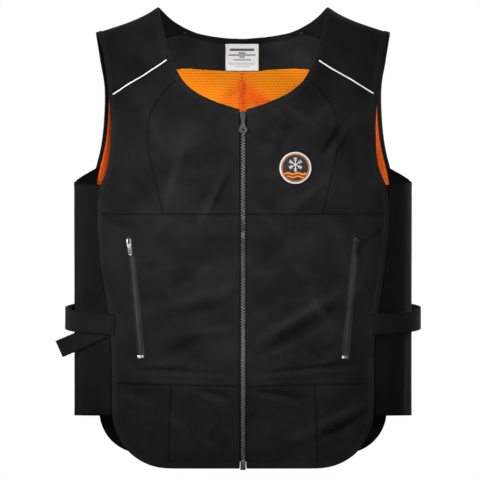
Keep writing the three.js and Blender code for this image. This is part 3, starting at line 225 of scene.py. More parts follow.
def woven(name, color, thread_mm, depth_mm, sheen=0.035, seam_shade=0.75):
    finish = Finish(name, color, 0.92, Specular_IOR_Level=0.06, Sheen_Weight=sheen, Sheen_Roughness=0.55)
    threads = finish.times(*(finish.wave(axis, 2 * thread_mm) for axis in finish.flat()))
    fuzz = finish.noise(FUZZ, detail=2.0)
    finish.bump(finish.maths("ADD", finish.times(threads, 0.5), fuzz), depth_mm)
    brushed = finish.remap(finish.noise(BRUSHED), 0.3, 0.7, 1 - UNEVEN, 1 + UNEVEN)
    flecks = finish.remap(fuzz, 0.25, 0.8, 0.9, 1.12)
    sunk = finish.maths("SUBTRACT", 1.0, finish.times(finish.attribute("edge"), seam_shade))
    # Painted light on the folds: a painted highlight where a fold stands up and painted shade in its hollows, from
    # the fold height in ridge.
    painted_fold_light = finish.remap(finish.attribute("ridge"), -1.0, 1.0, 1 - FOLD_PAINTED_LIGHT, 1 + FOLD_PAINTED_LIGHT)
    tone = finish.times(brushed, flecks, sunk, painted_fold_light)
    scaled = finish.node("VectorMath", {0: color, "Scale": tone}, operation="SCALE")[0]
    finish.paint(scaled, finish.remap(fuzz, 0.2, 0.8, 0.86, 1.0))
    return finish.material


BLACK_COTTON = (0.0077, 0.0077, 0.008)
cotton = woven("black_cotton", BLACK_COTTON, 0.55, 0.12)
facing_cotton = woven("facing_cotton", shade(BLACK_COTTON, 2.3), 0.4, 0.08)
binding_cotton = woven("binding_cotton", shade(BLACK_COTTON, 1.35), 0.5, 0.1, seam_shade=0.1)
zip_cotton = woven("zip_tape", shade(BLACK_COTTON, 1.3), 0.6, 0.12)
# Partly painted light: the pocket tape is 3.6 times as light as the cotton, for a greyer tape and to make up for the
# shade it lies in deep in its slot.
grey_and_lit_pocket_cotton = woven("pocket_tape", shade(BLACK_COTTON, 3.6), 0.6, 0.12)
stretch_knit = woven("stretch_knit", (0.0045, 0.0045, 0.0046), 0.35, 0.1, sheen=0.02)
webbing = woven("hook_and_loop", (0.0062, 0.0062, 0.0063), 1.3, 0.3, sheen=0.05)
thread = woven("black_thread", (0.014, 0.014, 0.0145), 0.25, 0.05)
print("cloth finishes ready")


# %% [markdown]
# The lining is an open polyester mesh with small round holes in rows that are offset by half a hole. There
# are thousands of them, so they are drawn and dented by the material: the distance to the nearest hole's
# middle comes from two overlapping lattices. Its orange turns redder where it is in shade.

# %% Lining finish
HOLE_ACROSS = 4.3
HOLE_ROWS = 7.8
HOLE_RADIUS = 0.95
HOLE_EDGE = (-0.25, 0.3)
MESH_RIB = 0.9
ORANGE = (1.0, 0.33, 0.005)
DEEP_ORANGE = (1.0, 0.11, 0.012)
HOLE_SHADE = (0.62, 0.1, 0.004)


def hole_distance(finish, across, along, shift):
    squares = []
    for coordinate, pitch in ((across, HOLE_ACROSS), (along, HOLE_ROWS)):
        cells = finish.maths("ADD", finish.times(coordinate, 1000 / pitch), shift)
        off = finish.times(finish.maths("SUBTRACT", finish.maths("FRACT", cells), 0.5), pitch)
        squares.append(finish.times(off, off))
    return finish.maths("SQRT", finish.maths("ADD", *squares))


def open_mesh(name):
    finish = Finish(name, ORANGE, 0.7, Specular_IOR_Level=0.1, Sheen_Weight=0.04, Sheen_Roughness=0.4)
    across, along = finish.flat()
    distance = finish.maths("MINIMUM", *(hole_distance(finish, across, along, shift) for shift in (0.0, 0.5)))
    hole = finish.remap(distance, HOLE_RADIUS + HOLE_EDGE[0], HOLE_RADIUS + HOLE_EDGE[1], 1.0, 0.0)
    finish.bump(finish.maths("SUBTRACT", finish.times(finish.wave(across, MESH_RIB), 0.15), hole), 0.5)
    patches = finish.remap(finish.noise(55), 0.35, 0.7, 0.0, 0.35)
    shadow = finish.maths("ADD", finish.attribute("fold"), patches)
    finish.paint(finish.blend(hole, finish.blend(shadow, ORANGE, DEEP_ORANGE), HOLE_SHADE))
    return finish.material


orange_mesh = open_mesh("orange_mesh")
print("hole pitch:", HOLE_ACROSS, "mm")


# %% [markdown]
# The piping is a cord wrapped in off-white reflective tape, and the zips are of gunmetal and steel. Metal
# on a zip is tumbled and then handled, so its roughness varies and fine scratches cross it. The patch and
# its threads have a raised stitch along their own direction.

# %% Trim and metal finishes
def reflective(name):
    finish = Finish(name, (0.86, 0.855, 0.83), 0.42, Specular_IOR_Level=0.6)
    grain = finish.noise(0.7)
    finish.bump(grain, 0.06)
    soil = finish.remap(finish.noise(22), 0.4, 0.75, 0.0, 0.35)
    tone = finish.blend(soil, (0.88, 0.875, 0.85), (0.62, 0.61, 0.58))
    finish.paint(tone, finish.remap(grain, 0.2, 0.8, 0.35, 0.6))
    return finish.material


def metal(name, color, roughness, worn, metallic=1.0):
    finish = Finish(name, color, roughness, Metallic=metallic)
    tumble = finish.noise(2.6)
    drawn_out = {"Vector": finish.place, "Scale": (1.0, 1.0, 0.12), "Rotation": (0.2, 0.5, 0.3)}
    turned = finish.node("Mapping", drawn_out)[0]
    scratches = finish.node("TexNoise", {"Vector": turned, "Detail": 4.0, "Scale": 3200.0})[0]
    rub = finish.remap(finish.times(tumble, scratches), 0.26, 0.42, 0.0, 0.6)
    uneven = finish.remap(tumble, 0.3, 0.7, roughness - 0.08, roughness + 0.14)
    finish.paint(finish.blend(rub, color, worn), uneven)
    finish.bump(scratches, 0.015)
    return finish.material


def embroidery(name, color):
    finish = Finish(name, color, 0.55, Specular_IOR_Level=0.35, Sheen_Weight=0.2, Sheen_Roughness=0.35)
    x, _, z = finish.node("SeparateXYZ", {"Vector": finish.place})
    threads = finish.wave(finish.maths("ADD", x, finish.times(z, 0.35)), 0.45)
    finish.bump(threads, 0.12)
    finish.paint(finish.blend(finish.remap(threads, -1.0, 0.2, 0.5, 0.0), color, shade(color, 0.45)))
    return finish.material


piping_tape = reflective("reflective_piping")
teeth_metal = metal("zip_teeth", (0.06, 0.06, 0.063), 0.36, worn=(0.3, 0.3, 0.31))
gunmetal = metal("gunmetal", (0.022, 0.022, 0.024), 0.42, worn=(0.075, 0.075, 0.08), metallic=0.9)
bright_steel = metal("bright_steel", (0.3, 0.3, 0.31), 0.3, worn=(0.7, 0.7, 0.7))
coil_plastic = metal("coil", (0.03, 0.03, 0.032), 0.55, worn=(0.06, 0.06, 0.062), metallic=0.0)
white_embroidery = embroidery("white_embroidery", (0.8, 0.8, 0.78))
black_embroidery = embroidery("black_embroidery", (0.018, 0.018, 0.019))
orange_embroidery = embroidery("orange_embroidery", (0.95, 0.26, 0.015))
print("trim and metal finishes ready")


# %% [markdown]
# The woven label is white satin with plain grey bars where a label has its lines. Each bar is a
# soft-edged box on the label's own flat map, which has its middle at zero.

# %% Label finish
Bar = namedtuple("Bar", "down half_length half_height darkness")
BARS = [
    Bar(-11.5, 18.0, 1.6, 0.95),
    Bar(-6.5, 5.0, 0.9, 0.9),
    Bar(-3.6, 20.0, 0.8, 0.85),
    Bar(-0.6, 4.0, 0.9, 0.8),
    Bar(3.6, 13.0, 1.1, 0.6),
    Bar(8.5, 20.0, 0.5, 0.4),
    Bar(10.6, 18.0, 0.4, 0.35),
    Bar(13.5, 11.0, 0.4, 0.35),
]
LABEL_RIB = 0.9
BAR_SOFTNESS = 0.35
SATIN = (0.9, 0.9, 0.88)
INK = (0.05, 0.05, 0.05)


def satin_label(name):
    finish = Finish(name, SATIN, 0.5, Specular_IOR_Level=0.35, Sheen_Weight=0.2, Sheen_Roughness=0.3)
    across, down = finish.flat()
    finish.bump(finish.wave(down, LABEL_RIB), 0.03)
    across, down = (finish.times(axis, 1000.0) for axis in (across, down))
    ink = 0.0
    for bar in BARS:
        offsets = ((across, bar.half_length), (finish.maths("SUBTRACT", down, bar.down), bar.half_height))
        inside = [
            finish.remap(finish.maths("ABSOLUTE", off), half, half + BAR_SOFTNESS, 1, 0) for off, half in offsets
        ]
        ink = finish.maths("ADD", ink, finish.times(*inside, bar.darkness))
    finish.paint(finish.blend(ink, SATIN, INK))
    return finish.material


label_satin = satin_label("label_satin")
print("bars on the label:", len(BARS))

# %% [markdown]
# The vest wraps a body that is a rounded box in plan and turns over the shoulders. One formula gives the
# direction that points away from the body at any place. Folds are pushed along it, and the same push acts
# on a panel and on the binding beside it, so that they stay together.

# %% Directions away from the body
PLAN_SHAPE = 2.4
SHOULDER_TURN = 0.26

half_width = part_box("side_panel_left")[1].x
back_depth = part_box("back_panel")[1].y


def outward(points):
    x, y, z = points.T
    depth = np.where(y < 0, front_depth, back_depth)
    plan = np.stack(
        [
            np.sign(x) * np.abs(x / half_width) ** (PLAN_SHAPE - 1) / half_width,
            np.sign(y) * np.abs(y / depth) ** (PLAN_SHAPE - 1) / depth,
        ],
        axis=1,
    )
    plan /= np.maximum(np.linalg.norm(plan, axis=1, keepdims=True), 1e-9)
    fall = np.clip(-z / SHOULDER_TURN, 0, 1)
    steep = np.sqrt(1 - (1 - fall) ** 2)
    return np.column_stack([plan * steep[:, None], 1 - fall])


def round_distance(points):
    """The distance round the body from the middle of the front, for the cloth's flat map."""
    turns = np.linspace(0, math.pi, 721)
    x = half_width * np.abs(np.sin(turns)) ** (2 / PLAN_SHAPE)
    y = -front_depth * np.sign(np.cos(turns)) * np.abs(np.cos(turns)) ** (2 / PLAN_SHAPE)
    runs = np.concatenate([[0], np.cumsum(np.hypot(np.diff(x), np.diff(y)))])
    ratio_x = (np.abs(points[:, 0]) / half_width) ** (PLAN_SHAPE / 2)
    ratio_y = (np.abs(points[:, 1]) / front_depth) ** (PLAN_SHAPE / 2)
    turn = np.arctan2(ratio_x, -np.sign(points[:, 1]) * ratio_y)
    return np.sign(points[:, 0]) * np.interp(turn, turns, runs)


print("half width:", round(half_width, 4), "depths:", round(front_depth, 4), round(back_depth, 4))


# %% [markdown]
# The folds are a short table, a row for each one that the worn vest shows: where its middle is, how far
# it turns, its length, its width and its height. A minus height is a dent. Smaller dents are added at
# random with a fixed seed, because real cotton is never quite flat. The cloth lies calm along the zips and
# under the straps.

# %% Folds
Fold = namedtuple("Fold", "across down turn long wide rise")
FRONT_FOLDS = [Fold(*row) for row in (
    (-52, 430, 14, 38, 8, 1.7), (-60, 449, 12, 34, 7, -1.2), (-46, 482, 8, 40, 7, 1.4),
    (-84, 500, 26, 34, 8, -1.1), (76, 466, 30, 62, 7, 1.6), (84, 485, 31, 58, 8, -1.9),
    (52, 512, 22, 40, 8, 1.2), (118, 452, -52, 26, 7, 1.0), (-92, 549, -2, 58, 3.6, 1.5),
    (-100, 541, -4, 48, 3.6, -1.2), (-128, 533, 4, 34, 4, 1.1), (92, 546, 4, 60, 3.8, 1.6),
    (106, 537, 7, 50, 4, -1.3), (132, 528, 12, 30, 4, 1.2), (-42, 574, -12, 24, 3.6, -1.3),
    (-46, 583, -16, 26, 4, 1.1), (48, 575, -10, 34, 4, -1.6), (56, 585, -14, 32, 4.5, 1.4),
    (-88, 628, -42, 28, 7, 1.5), (-76, 640, -40, 28, 6, -1.2), (-46, 652, -34, 24, 6, 1.1),
    (-148, 590, -24, 24, 6, 1.0), (136, 614, 24, 34, 6, 1.6), (146, 626, 26, 32, 6, -1.4),
    (84, 640, 14, 26, 7, 1.0), (-44, 288, 64, 38, 7, 1.4), (-30, 272, 62, 30, 6, -1.0),
    (-100, 248, 74, 50, 9, 0.9), (40, 318, -46, 28, 6, 1.2), (134, 196, 58, 26, 4, -1.0),
    (142, 204, 60, 26, 4, 0.8), (98, 282, 40, 34, 7, 0.9), (-130, 180, -64, 40, 8, 0.8),
    (60, 200, 70, 34, 8, -0.7),
)]
BACK_FOLDS = [Fold(*row) for row in (
    (-70, 210, 60, 70, 12, 1.2), (80, 230, -58, 70, 12, 1.2), (-40, 430, 12, 70, 9, 1.3),
    (60, 470, -16, 80, 10, 1.4), (-90, 520, 20, 70, 10, -1.2), (20, 560, -6, 90, 9, 1.2),
    (110, 600, 30, 60, 9, 1.2), (-130, 610, -28, 60, 9, 1.1), (0, 330, 4, 80, 12, -0.9),
)]
SMALL_FOLDS = 90
FOLD_STRENGTH = 4.2
ZIP_CALM = 17
POCKET_CALM = 13
STRAP_ROOT = 205
STRAP_CALM = 34
BACK_EDGE = 215
BACK_CALM = 26
SHOULDER_CALM = (0.05, 0.09)
Crumple = namedtuple("Crumple", "size height")
CRUMPLES = [Crumple(70, 2.0), Crumple(30, 1.5), Crumple(12, 0.5)]

random.seed(7)
small_folds = [
    Fold(
        random.uniform(-190, 190),
        random.uniform(120, 670),
        random.uniform(-50, 50),
        random.uniform(14, 34),
        random.uniform(4, 9),
        random.choice((-1, 1)) * random.uniform(0.25, 0.6),
    )
    for _ in range(SMALL_FOLDS)
]
pocket_foot, pocket_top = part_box("pocket_coil_left")
strap_level = (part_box("strap_left")[0].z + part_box("strap_left")[1].z) / 2


def fold_field(across, down, folds):
    """The height of a table of folds, in millimetres, at places given in millimetres."""
    height = np.zeros_like(across)
    for fold in folds:
        turn = math.radians(fold.turn)
        u, v = across - fold.across, fold.down - down
        along = (u * math.cos(turn) + v * math.sin(turn)) / fold.long
        off = (v * math.cos(turn) - u * math.sin(turn)) / fold.wide
        height += fold.rise * np.exp(-along**2 - off**2)
    return height * FOLD_STRENGTH


def noise_at(points, scale):
    return np.array([noise.noise(Vector(point) * scale) for point in points])


def crumpled(points):
    """The unevenness of worn cotton, in millimetres: broad swells with finer ones on them."""
    return sum(rise * noise_at(points, 1000 / size) for size, rise in CRUMPLES)


def clear_of(*offsets):
    """A share that is nothing at a calm place and grows to one beyond it."""
    return 1 - np.exp(-sum(offset**2 for offset in offsets))


def across_and_down(points):
    return points[:, 0] / MM, -points[:, 2] / MM


def front_push(points):
    """How far the cloth of a front stands out from its plain form, in metres."""
    across, down = across_and_down(points)
    height = fold_field(across, down, FRONT_FOLDS + small_folds) + crumpled(points)
    share = np.clip((pocket_top.z - points[:, 2]) / (pocket_top.z - pocket_foot.z), 0, 1)
    middle = (pocket_top.x * (1 - share) + pocket_foot.x * share) / MM
    beyond = np.maximum(points[:, 2] - pocket_top.z, 0) + np.maximum(pocket_foot.z - points[:, 2], 0)
    height *= clear_of(across / ZIP_CALM)
    height *= clear_of((np.abs(across) - middle) / POCKET_CALM, beyond / MM / POCKET_CALM)
    height *= clear_of((np.abs(across) - STRAP_ROOT) / STRAP_CALM, (down + strap_level / MM) / STRAP_CALM)
    return height * MM


def back_push(points):
    across, down = across_and_down(points)
    folds = BACK_FOLDS + [fold._replace(across=-fold.across) for fold in small_folds]
    height = fold_field(across, down, folds) + crumpled(points)
    return np.maximum(height * clear_of((np.abs(across) - BACK_EDGE) / BACK_CALM), -0.2) * MM


def push(points):
    """The folds of the whole vest: fronts, back, and nothing near the shoulder line."""
    calm_depth, calm_height = SHOULDER_CALM
    calm = np.clip(-points[:, 2] / calm_height, 0, 1) * np.clip(np.abs(points[:, 1]) / calm_depth, 0, 1)
    return np.where(points[:, 1] < 0, front_push(points), back_push(points)) * calm


print("folds:", len(FRONT_FOLDS), "large and", len(small_folds), "small")


# %% [markdown]
# A stand-in of a cloth panel has the right outline but flat facets. It is copied, its loose triangles are
# merged and paired into squares, its rim is creased so that the outline holds, and a Subdivision Surface
# rounds the rest. A bevel softens the cut edge. Then the folds are pushed in vertex by vertex, and the
# cloth close to a seam puckers where the stitches draw it in.

# %% Helpers for cloth
RIM_ANGLE = math.radians(46)
CORNER_ANGLE = math.radians(28)
SMOOTH_ANGLE = math.radians(50)
NEIGHBOUR_REACH = 6.5
SEAM_GROWTH = 0.45
UNDER_BINDING = 2.5
PUCKER_REACH = 6.0
PUCKER_SIZE = 5.5
SEAM_SHADE = 1.6
RIDGE_FULL = 4.0
RIDGE_HEIGHT = 0.35
RIDGE_PLACE = 4.0
RIDGE_WIDTH = 2.6
BINDINGS = [f"{name}_{side}" for name in ("armhole_binding", "edge_binding") for side in SIDES]
BINDINGS.append("neck_binding")


def only(piece):
    bpy.ops.object.select_all(action="DESELECT")
    piece.select_set(True)
    bpy.context.view_layer.objects.active = piece


def in_edit_mode(piece, select="SELECT"):
    only(piece)
    bpy.ops.object.mode_set(mode="EDIT")
    bpy.ops.mesh.select_all(action=select)


def out_of_edit_mode():
    bpy.ops.object.mode_set(mode="OBJECT")


def linked(name, mesh):
    piece = bpy.data.objects.new(name, mesh)
    bpy.context.collection.objects.link(piece)
    return piece


def start_copy(stand_in, name, merge_mm):
    """A copy of a stand-in, in edit mode, with its loose triangles merged."""
    piece = linked(name, nodes[stand_in].data.copy())
    piece.data.name = name
    piece.data.materials.clear()
    in_edit_mode(piece)
    bpy.ops.mesh.remove_doubles(threshold=merge_mm * MM)
    return piece


def copy_of(stand_in, name):
    piece = start_copy(stand_in, name, merge_mm=0.01)
    bpy.ops.mesh.tris_convert_to_quads(face_threshold=math.radians(60), shape_threshold=math.radians(120))
    out_of_edit_mode()
    return piece


def finish_with(piece, kind, **settings):
    only(piece)
    modifier = piece.modifiers.new(kind.title(), kind)
    for key, value in settings.items():
        setattr(modifier, key, value)
    bpy.ops.object.modifier_apply(modifier=modifier.name)


def subdivide(piece, levels=3):
    finish_with(piece, "SUBSURF", levels=levels, render_levels=levels)


def soften_rim(piece, width_mm):
    finish_with(piece, "BEVEL", width=width_mm * MM, segments=2, limit_method="ANGLE", angle_limit=RIM_ANGLE)


def crease_rim(piece, amount=1.0, angle=CORNER_ANGLE):
    in_edit_mode(piece, "DESELECT")
    bpy.ops.mesh.select_mode(type="EDGE")
    bpy.ops.mesh.edges_select_sharp(sharpness=angle)
    bpy.ops.transform.edge_crease(value=amount)
    out_of_edit_mode()


def tree_of(*pieces):
    """One tree of the faces of several objects, for finding where a ray meets them."""
    points, faces = [], []
    for piece in pieces:
        faces += [tuple(len(points) + i for i in face.vertices) for face in piece.data.polygons]
        points += [vertex.co.copy() for vertex in piece.data.vertices]
    return BVHTree.FromPolygons(points, faces)


def mesh_and_outward(mesh_data):
    """An editable mesh, and the direction away from the body at each of its faces."""
    mesh = bmesh.new()
    mesh.from_mesh(mesh_data)
    bmesh.ops.remove_doubles(mesh, verts=mesh.verts, dist=0.01 * MM)
    mesh.normal_update()
    return mesh, outward(np.array([face.calc_center_median() for face in mesh.faces]))


def grow_rim(piece, amount, tree=None):
    """Move the walls at a cloth's edge outwards, all of them or those that face a neighbour in the tree."""
    mesh, away = mesh_and_outward(piece.data)
    moves = {}
    for face, out in zip(mesh.faces, away):
        if abs(face.normal.dot(Vector(out))) > 0.5:
            continue
        start = face.calc_center_median() + face.normal * 0.02 * MM
        if tree and tree.ray_cast(start, face.normal, NEIGHBOUR_REACH * MM)[0] is None:
            continue
        for vertex in face.verts:
            moves.setdefault(vertex, []).append(face.normal.copy())
    for vertex, normals in moves.items():
        along = sum(normals, Vector()).normalized()
        vertex.co += along * amount * MM / max(0.5, along.dot(normals[0]))
    mesh.to_mesh(piece.data)
    mesh.free()


def points_of(piece):
    points = np.empty(len(piece.data.vertices) * 3)
    piece.data.vertices.foreach_get("co", points)
    return points.reshape(-1, 3)


def move_to(piece, points):
    piece.data.vertices.foreach_set("co", np.ascontiguousarray(points).ravel())
    piece.data.update()


def rim_of(piece):
    """The points of the walls that close the cloth's edge, before the cloth is bevelled."""
    mesh = bmesh.new()
    mesh.from_mesh(piece.data)
    edges = (edge for edge in mesh.edges if edge.is_manifold and edge.calc_face_angle(0) > RIM_ANGLE)
    sharp = {tuple(vertex.co) for edge in edges for vertex in edge.verts}
    mesh.free()
    return [Vector(point) for point in sorted(sharp)]


def rim_distance(piece, rim_points):
    """How far each vertex lies from the cloth's cut edge, in millimetres."""
    tree = KDTree(len(rim_points))
    for i, point in enumerate(rim_points):
        tree.insert(point, i)
    tree.balance()
    return np.array([tree.find(vertex.co)[2] for vertex in piece.data.vertices]) / MM


def give_attribute(piece, name, values):
    layer = piece.data.attributes.new(name, "FLOAT", "POINT")
    layer.data.foreach_set("value", np.asarray(values, dtype=np.float32))


def flat_map(piece, across, along):
    layers = piece.data.uv_layers
    while len(layers):
        layers.remove(layers[0])
    corners = np.empty(len(piece.data.loops), dtype=np.int64)
    piece.data.loops.foreach_get("vertex_index", corners)
    layers.new(name="cloth").data.foreach_set("uv", np.stack([across[corners], along[corners]], axis=1).ravel())


def map_round(piece):
    points = points_of(piece)
    flat_map(piece, round_distance(points), points[:, 2])
    return points


def dress(piece, material, stand_in=None, body="vest", smooth=SMOOTH_ANGLE):
    piece.data.materials.clear()
    piece.data.materials.append(material)
    only(piece)
    bpy.ops.object.shade_smooth_by_angle(angle=smooth)
    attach(piece, body)
    if stand_in:
        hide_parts(stand_in)
    return piece


def drape(piece, stand_in, rim, material, slot, puckers=0.4, pushed=push):
    """Push the folds, the puckers and the doubled cloth beside the seams into a panel, and dress it."""
    points = map_round(piece)
    distance = rim_distance(piece, rim)
    drawn_in = noise_at(points, 1000 / PUCKER_SIZE) * np.exp(-((distance / PUCKER_REACH) ** 2)) * puckers
    doubled = RIDGE_HEIGHT * np.exp(-(((distance - RIDGE_PLACE) / RIDGE_WIDTH) ** 2))
    height = pushed(points) + (drawn_in + doubled) * MM
    move_to(piece, points + outward(points) * height[:, None])
    # The fold height, which the cloth's material turns into painted light on the folds.
    give_attribute(piece, "ridge", np.clip(height / MM / RIDGE_FULL, -1, 1))
    give_attribute(piece, "edge", np.exp(-((distance / SEAM_SHADE) ** 2)))
    return dress(piece, material, stand_in)


binding_tree = tree_of(*(nodes[name] for name in BINDINGS))


def make_cloth(
    stand_in, material, slot, levels=3, bevel=0.8, under=UNDER_BINDING, hidden_by=binding_tree, **draping
):
    piece = copy_of(stand_in, f"{stand_in}_cloth")
    grow_rim(piece, SEAM_GROWTH)
    grow_rim(piece, under, hidden_by)
    crease_rim(piece)
    subdivide(piece, levels)
    rim = rim_of(piece)
    if bevel:
        soften_rim(piece, bevel)
    return drape(piece, stand_in, rim, material, slot, **draping)


# %% [markdown]
# The sewn panels of the fronts and the back all go through the same steps. The waist panels come
# later, because a pocket is cut through each of them.

# %% Front and back panels
cloths = {}
for side in SIDES:
    for panel in ("yoke", "chest_centre", "chest_side", "hem_centre", "hem_side"):
        stand_in = f"{panel}_{side}"
        cloths[stand_in] = make_cloth(stand_in, cotton, "outer_cloth")
cloths["back_panel"] = make_cloth("back_panel", cotton, "outer_cloth")
cloths["back_facing"] = make_cloth("back_facing", facing_cotton, "facing_cloth", bevel=0.2, puckers=0.15)
print("panels:", {name: len(piece.data.polygons) for name, piece in cloths.items()})


# %% [markdown]
# A waist panel is cut through for its pocket, so its stand-in has no even net of squares. Its four edges
# are read instead, and a grid is drawn between them, a Coons patch: each row and column blends from one
# edge to the opposite one. The grid is thickened, and a slot is cut with a Boolean.

# %% Waist panels
WAIST_COLUMNS = 64
WAIST_ROWS = 80
WAIST_RIM_POINTS = 90
CLOTH = 2.0
PRESS_REACH = 0.02
PRESS_LIMIT = 5.0
PRESS_BLUR = 12


def outer_rim(stand_in):
    """The longest loop of edges round the outer face of a stand-in, as an ordered list of points."""
    mesh, away = mesh_and_outward(nodes[stand_in].data)
    outer = {face for face, out in zip(mesh.faces, away) if face.normal.dot(Vector(out)) > 0.5}
    edges = {edge for face in outer for edge in face.edges if sum(f in outer for f in edge.link_faces) == 1}
    loops = []
    while edges:
        first = min(edges, key=lambda edge: edge.index)
        edges.remove(first)
        loop = list(first.verts)
        while step := next((edge for edge in loop[-1].link_edges if edge in edges), None):
            edges.remove(step)
            loop.append(step.other_vert(loop[-1]))
        loops.append([tuple(vertex.co) for vertex in loop])
    mesh.free()
    return np.array(max(loops, key=lambda loop: sum(math.dist(a, b) for a, b in zip(loop, loop[1:]))))


def distance_along(line):
    return np.concatenate([[0], np.cumsum(np.linalg.norm(np.diff(line, axis=0), axis=1))])


def smooth_line(points, count):
    """A run of points made smooth and spaced evenly."""
    runs = distance_along(points)
    slopes = np.gradient(points, runs, axis=0)
    at = np.linspace(0, runs[-1], count)
    i = np.clip(np.searchsorted(runs, at, side="right") - 1, 0, len(runs) - 2)
    step = (runs[i + 1] - runs[i])[:, None]
    t = ((at - runs[i])[:, None]) / step
    ease = t * t * (3 - 2 * t)
    bend = slopes[i] * t * (1 - t) ** 2 - slopes[i + 1] * t * t * (1 - t)
    return points[i] * (1 - ease) + points[i + 1] * ease + step * bend


def four_edges(loop, sign):
    """A loop split at its corners into bottom, right, top and left, each from left to right or upwards."""
    loop = loop[:-1] if np.allclose(loop[0], loop[-1]) else loop
    across, height, count = sign * loop[:, 0] * 0.5, loop[:, 2], len(loop)
    foot_in, head_out = int(np.argmin(across + height)), int(np.argmax(across + height))
    foot_out, head_in = int(np.argmax(across - height)), int(np.argmax(height - across))

    def run(start, end):
        others = {foot_in, foot_out, head_in, head_out} - {start, end}
        ahead = [(start + k) % count for k in range((end - start) % count + 1)]
        behind = [(start - k) % count for k in range((start - end) % count + 1)]
        return loop[behind if others & set(ahead) else ahead]

    return run(foot_in, foot_out), run(foot_out, head_out), run(head_in, head_out), run(foot_in, head_in)


def patch_between(edges, columns, rows):
    bottom, right, top, left = (smooth_line(edge, count + 1) for edge, count in zip(edges, (columns, rows) * 2))
    u = np.linspace(0, 1, columns + 1)[None, :, None]
    v = np.linspace(0, 1, rows + 1)[:, None, None]
    ruled = bottom[None] * (1 - v) + top[None] * v + left[:, None] * (1 - u) + right[:, None] * u
    low = bottom[0] * (1 - u) + bottom[-1] * u
    high = top[0] * (1 - u) + top[-1] * u
    return ruled - low * (1 - v) - high * v


def rise_to(points, away, tree):
    """How far points are below the surface that lies outside them, or nothing where it is missed."""
    rises = []
    for point, out in zip(points, away):
        hit = tree.ray_cast(Vector(point + out * PRESS_REACH), Vector(-out), 2 * PRESS_REACH)[0]
        rises.append(0 if hit is None else (np.array(hit) - point) @ out)
    return np.where(np.abs(rises) > PRESS_LIMIT * MM, 0, rises)


def blurred(grid, passes):
    for _ in range(passes):
        wide = np.pad(grid, ((1, 1), (1, 1)), mode="edge")
        grid = (wide[:-2, 1:-1] + wide[2:, 1:-1] + wide[1:-1, :-2] + wide[1:-1, 2:] + 4 * grid) / 8
    return grid


def make_waist(side, sign):
    stand_in = f"waist_{side}"
    edges = four_edges(outer_rim(stand_in), sign)
    points = patch_between(edges, WAIST_COLUMNS, WAIST_ROWS).reshape(-1, 3)
    away = outward(points)
    rise = rise_to(points, away, tree_of(nodes[stand_in])).reshape(WAIST_ROWS + 1, WAIST_COLUMNS + 1)
    piece = added(
        bpy.ops.mesh.primitive_grid_add, x_subdivisions=WAIST_COLUMNS, y_subdivisions=WAIST_ROWS, size=1
    )
    piece.name = piece.data.name = f"{stand_in}_cloth"
    move_to(piece, points + away * blurred(rise, PRESS_BLUR).reshape(-1, 1))
    if sign < 0:
        in_edit_mode(piece)
        bpy.ops.mesh.flip_normals()
        out_of_edit_mode()
    inner = -1 if Vector(piece.data.polygons[0].normal).dot(Vector(away[0])) > 0 else 1
    finish_with(piece, "SOLIDIFY", thickness=CLOTH * MM, offset=inner, use_even_offset=False)
    grow_rim(piece, SEAM_GROWTH)
    grow_rim(piece, UNDER_BINDING, binding_tree)
    cut_slot(piece, side)
    rim = np.concatenate([smooth_line(edge, WAIST_RIM_POINTS) for edge in edges])
    return drape(piece, stand_in, [Vector(point) for point in rim], cotton, "outer_cloth")


# %% [markdown]
# The cutter of a pocket slot is a cube, shaped to the slot's leaning outline: its top face is narrower
# than its foot. Its sizes come from the zip that lies in the slot.

# %% Pocket slots
SLOT_HALF_TOP = 4.5
SLOT_HALF_FOOT = 6.2
SLOT_EDGE = 0.25
CUTTER_DEPTH = 0.03


def stand_in_points(name):
    return np.array([vertex.co for vertex in nodes[name].data.vertices])


def pocket_line(side):
    """The middle line of a pocket zip, as a function of height, fitted through its tape."""
    points = np.unique(np.round(stand_in_points(f"pocket_tape_{side}"), 6), axis=0)
    across = np.polyfit(points[:, 2], points[:, 0], 1)
    depth = np.polyfit(points[:, 2], points[:, 1], 2)
    return lambda z: np.array([np.polyval(across, z), np.polyval(depth, z), z])


def slot_frame(side):
    """The foot and the head of a pocket's slot, the direction up it and the direction across it."""
    line = pocket_line(side)
    low = line(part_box(f"pocket_stop_{side}")[0].z - SLOT_EDGE * MM)
    high = line(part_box(f"pocket_coil_{side}")[1].z + SLOT_EDGE * MM)
    lean = (high - low) / np.linalg.norm(high - low)
    return low, high, lean, np.array([lean[2], 0, -lean[0]])


def cut_slot(piece, side):
    low, high, _, beside = slot_frame(side)
    cutter = added(bpy.ops.mesh.primitive_cube_add, size=1)
    corners = points_of(cutter)
    ends = np.where(corners[:, 2:] > 0, high, low)
    half = np.where(corners[:, 2:] > 0, SLOT_HALF_TOP, SLOT_HALF_FOOT) * MM
    depth = np.array([0, 1, 0]) * corners[:, 1:2] * CUTTER_DEPTH
    move_to(cutter, ends + beside * (2 * corners[:, :1] * half) + depth)
    in_edit_mode(cutter)
    bpy.ops.mesh.normals_make_consistent(inside=False)
    out_of_edit_mode()
    finish_with(piece, "BOOLEAN", object=cutter, operation="DIFFERENCE", solver="EXACT")
    bpy.data.objects.remove(cutter)


for side, sign in SIDES.items():
    cloths[f"waist_{side}"] = make_waist(side, sign)
print("waist panels:", [len(cloths[f"waist_{side}"].data.polygons) for side in SIDES])

# %% [markdown]
# The mesh lining hangs inside the back. It is softer than the cotton and stands away from it in folds: a
# crease runs down from under the label, and slack gathers at both sides of it. All of its folds go
# inwards, because the cotton is right behind it. It is redder in its folds and towards its shaded sides.

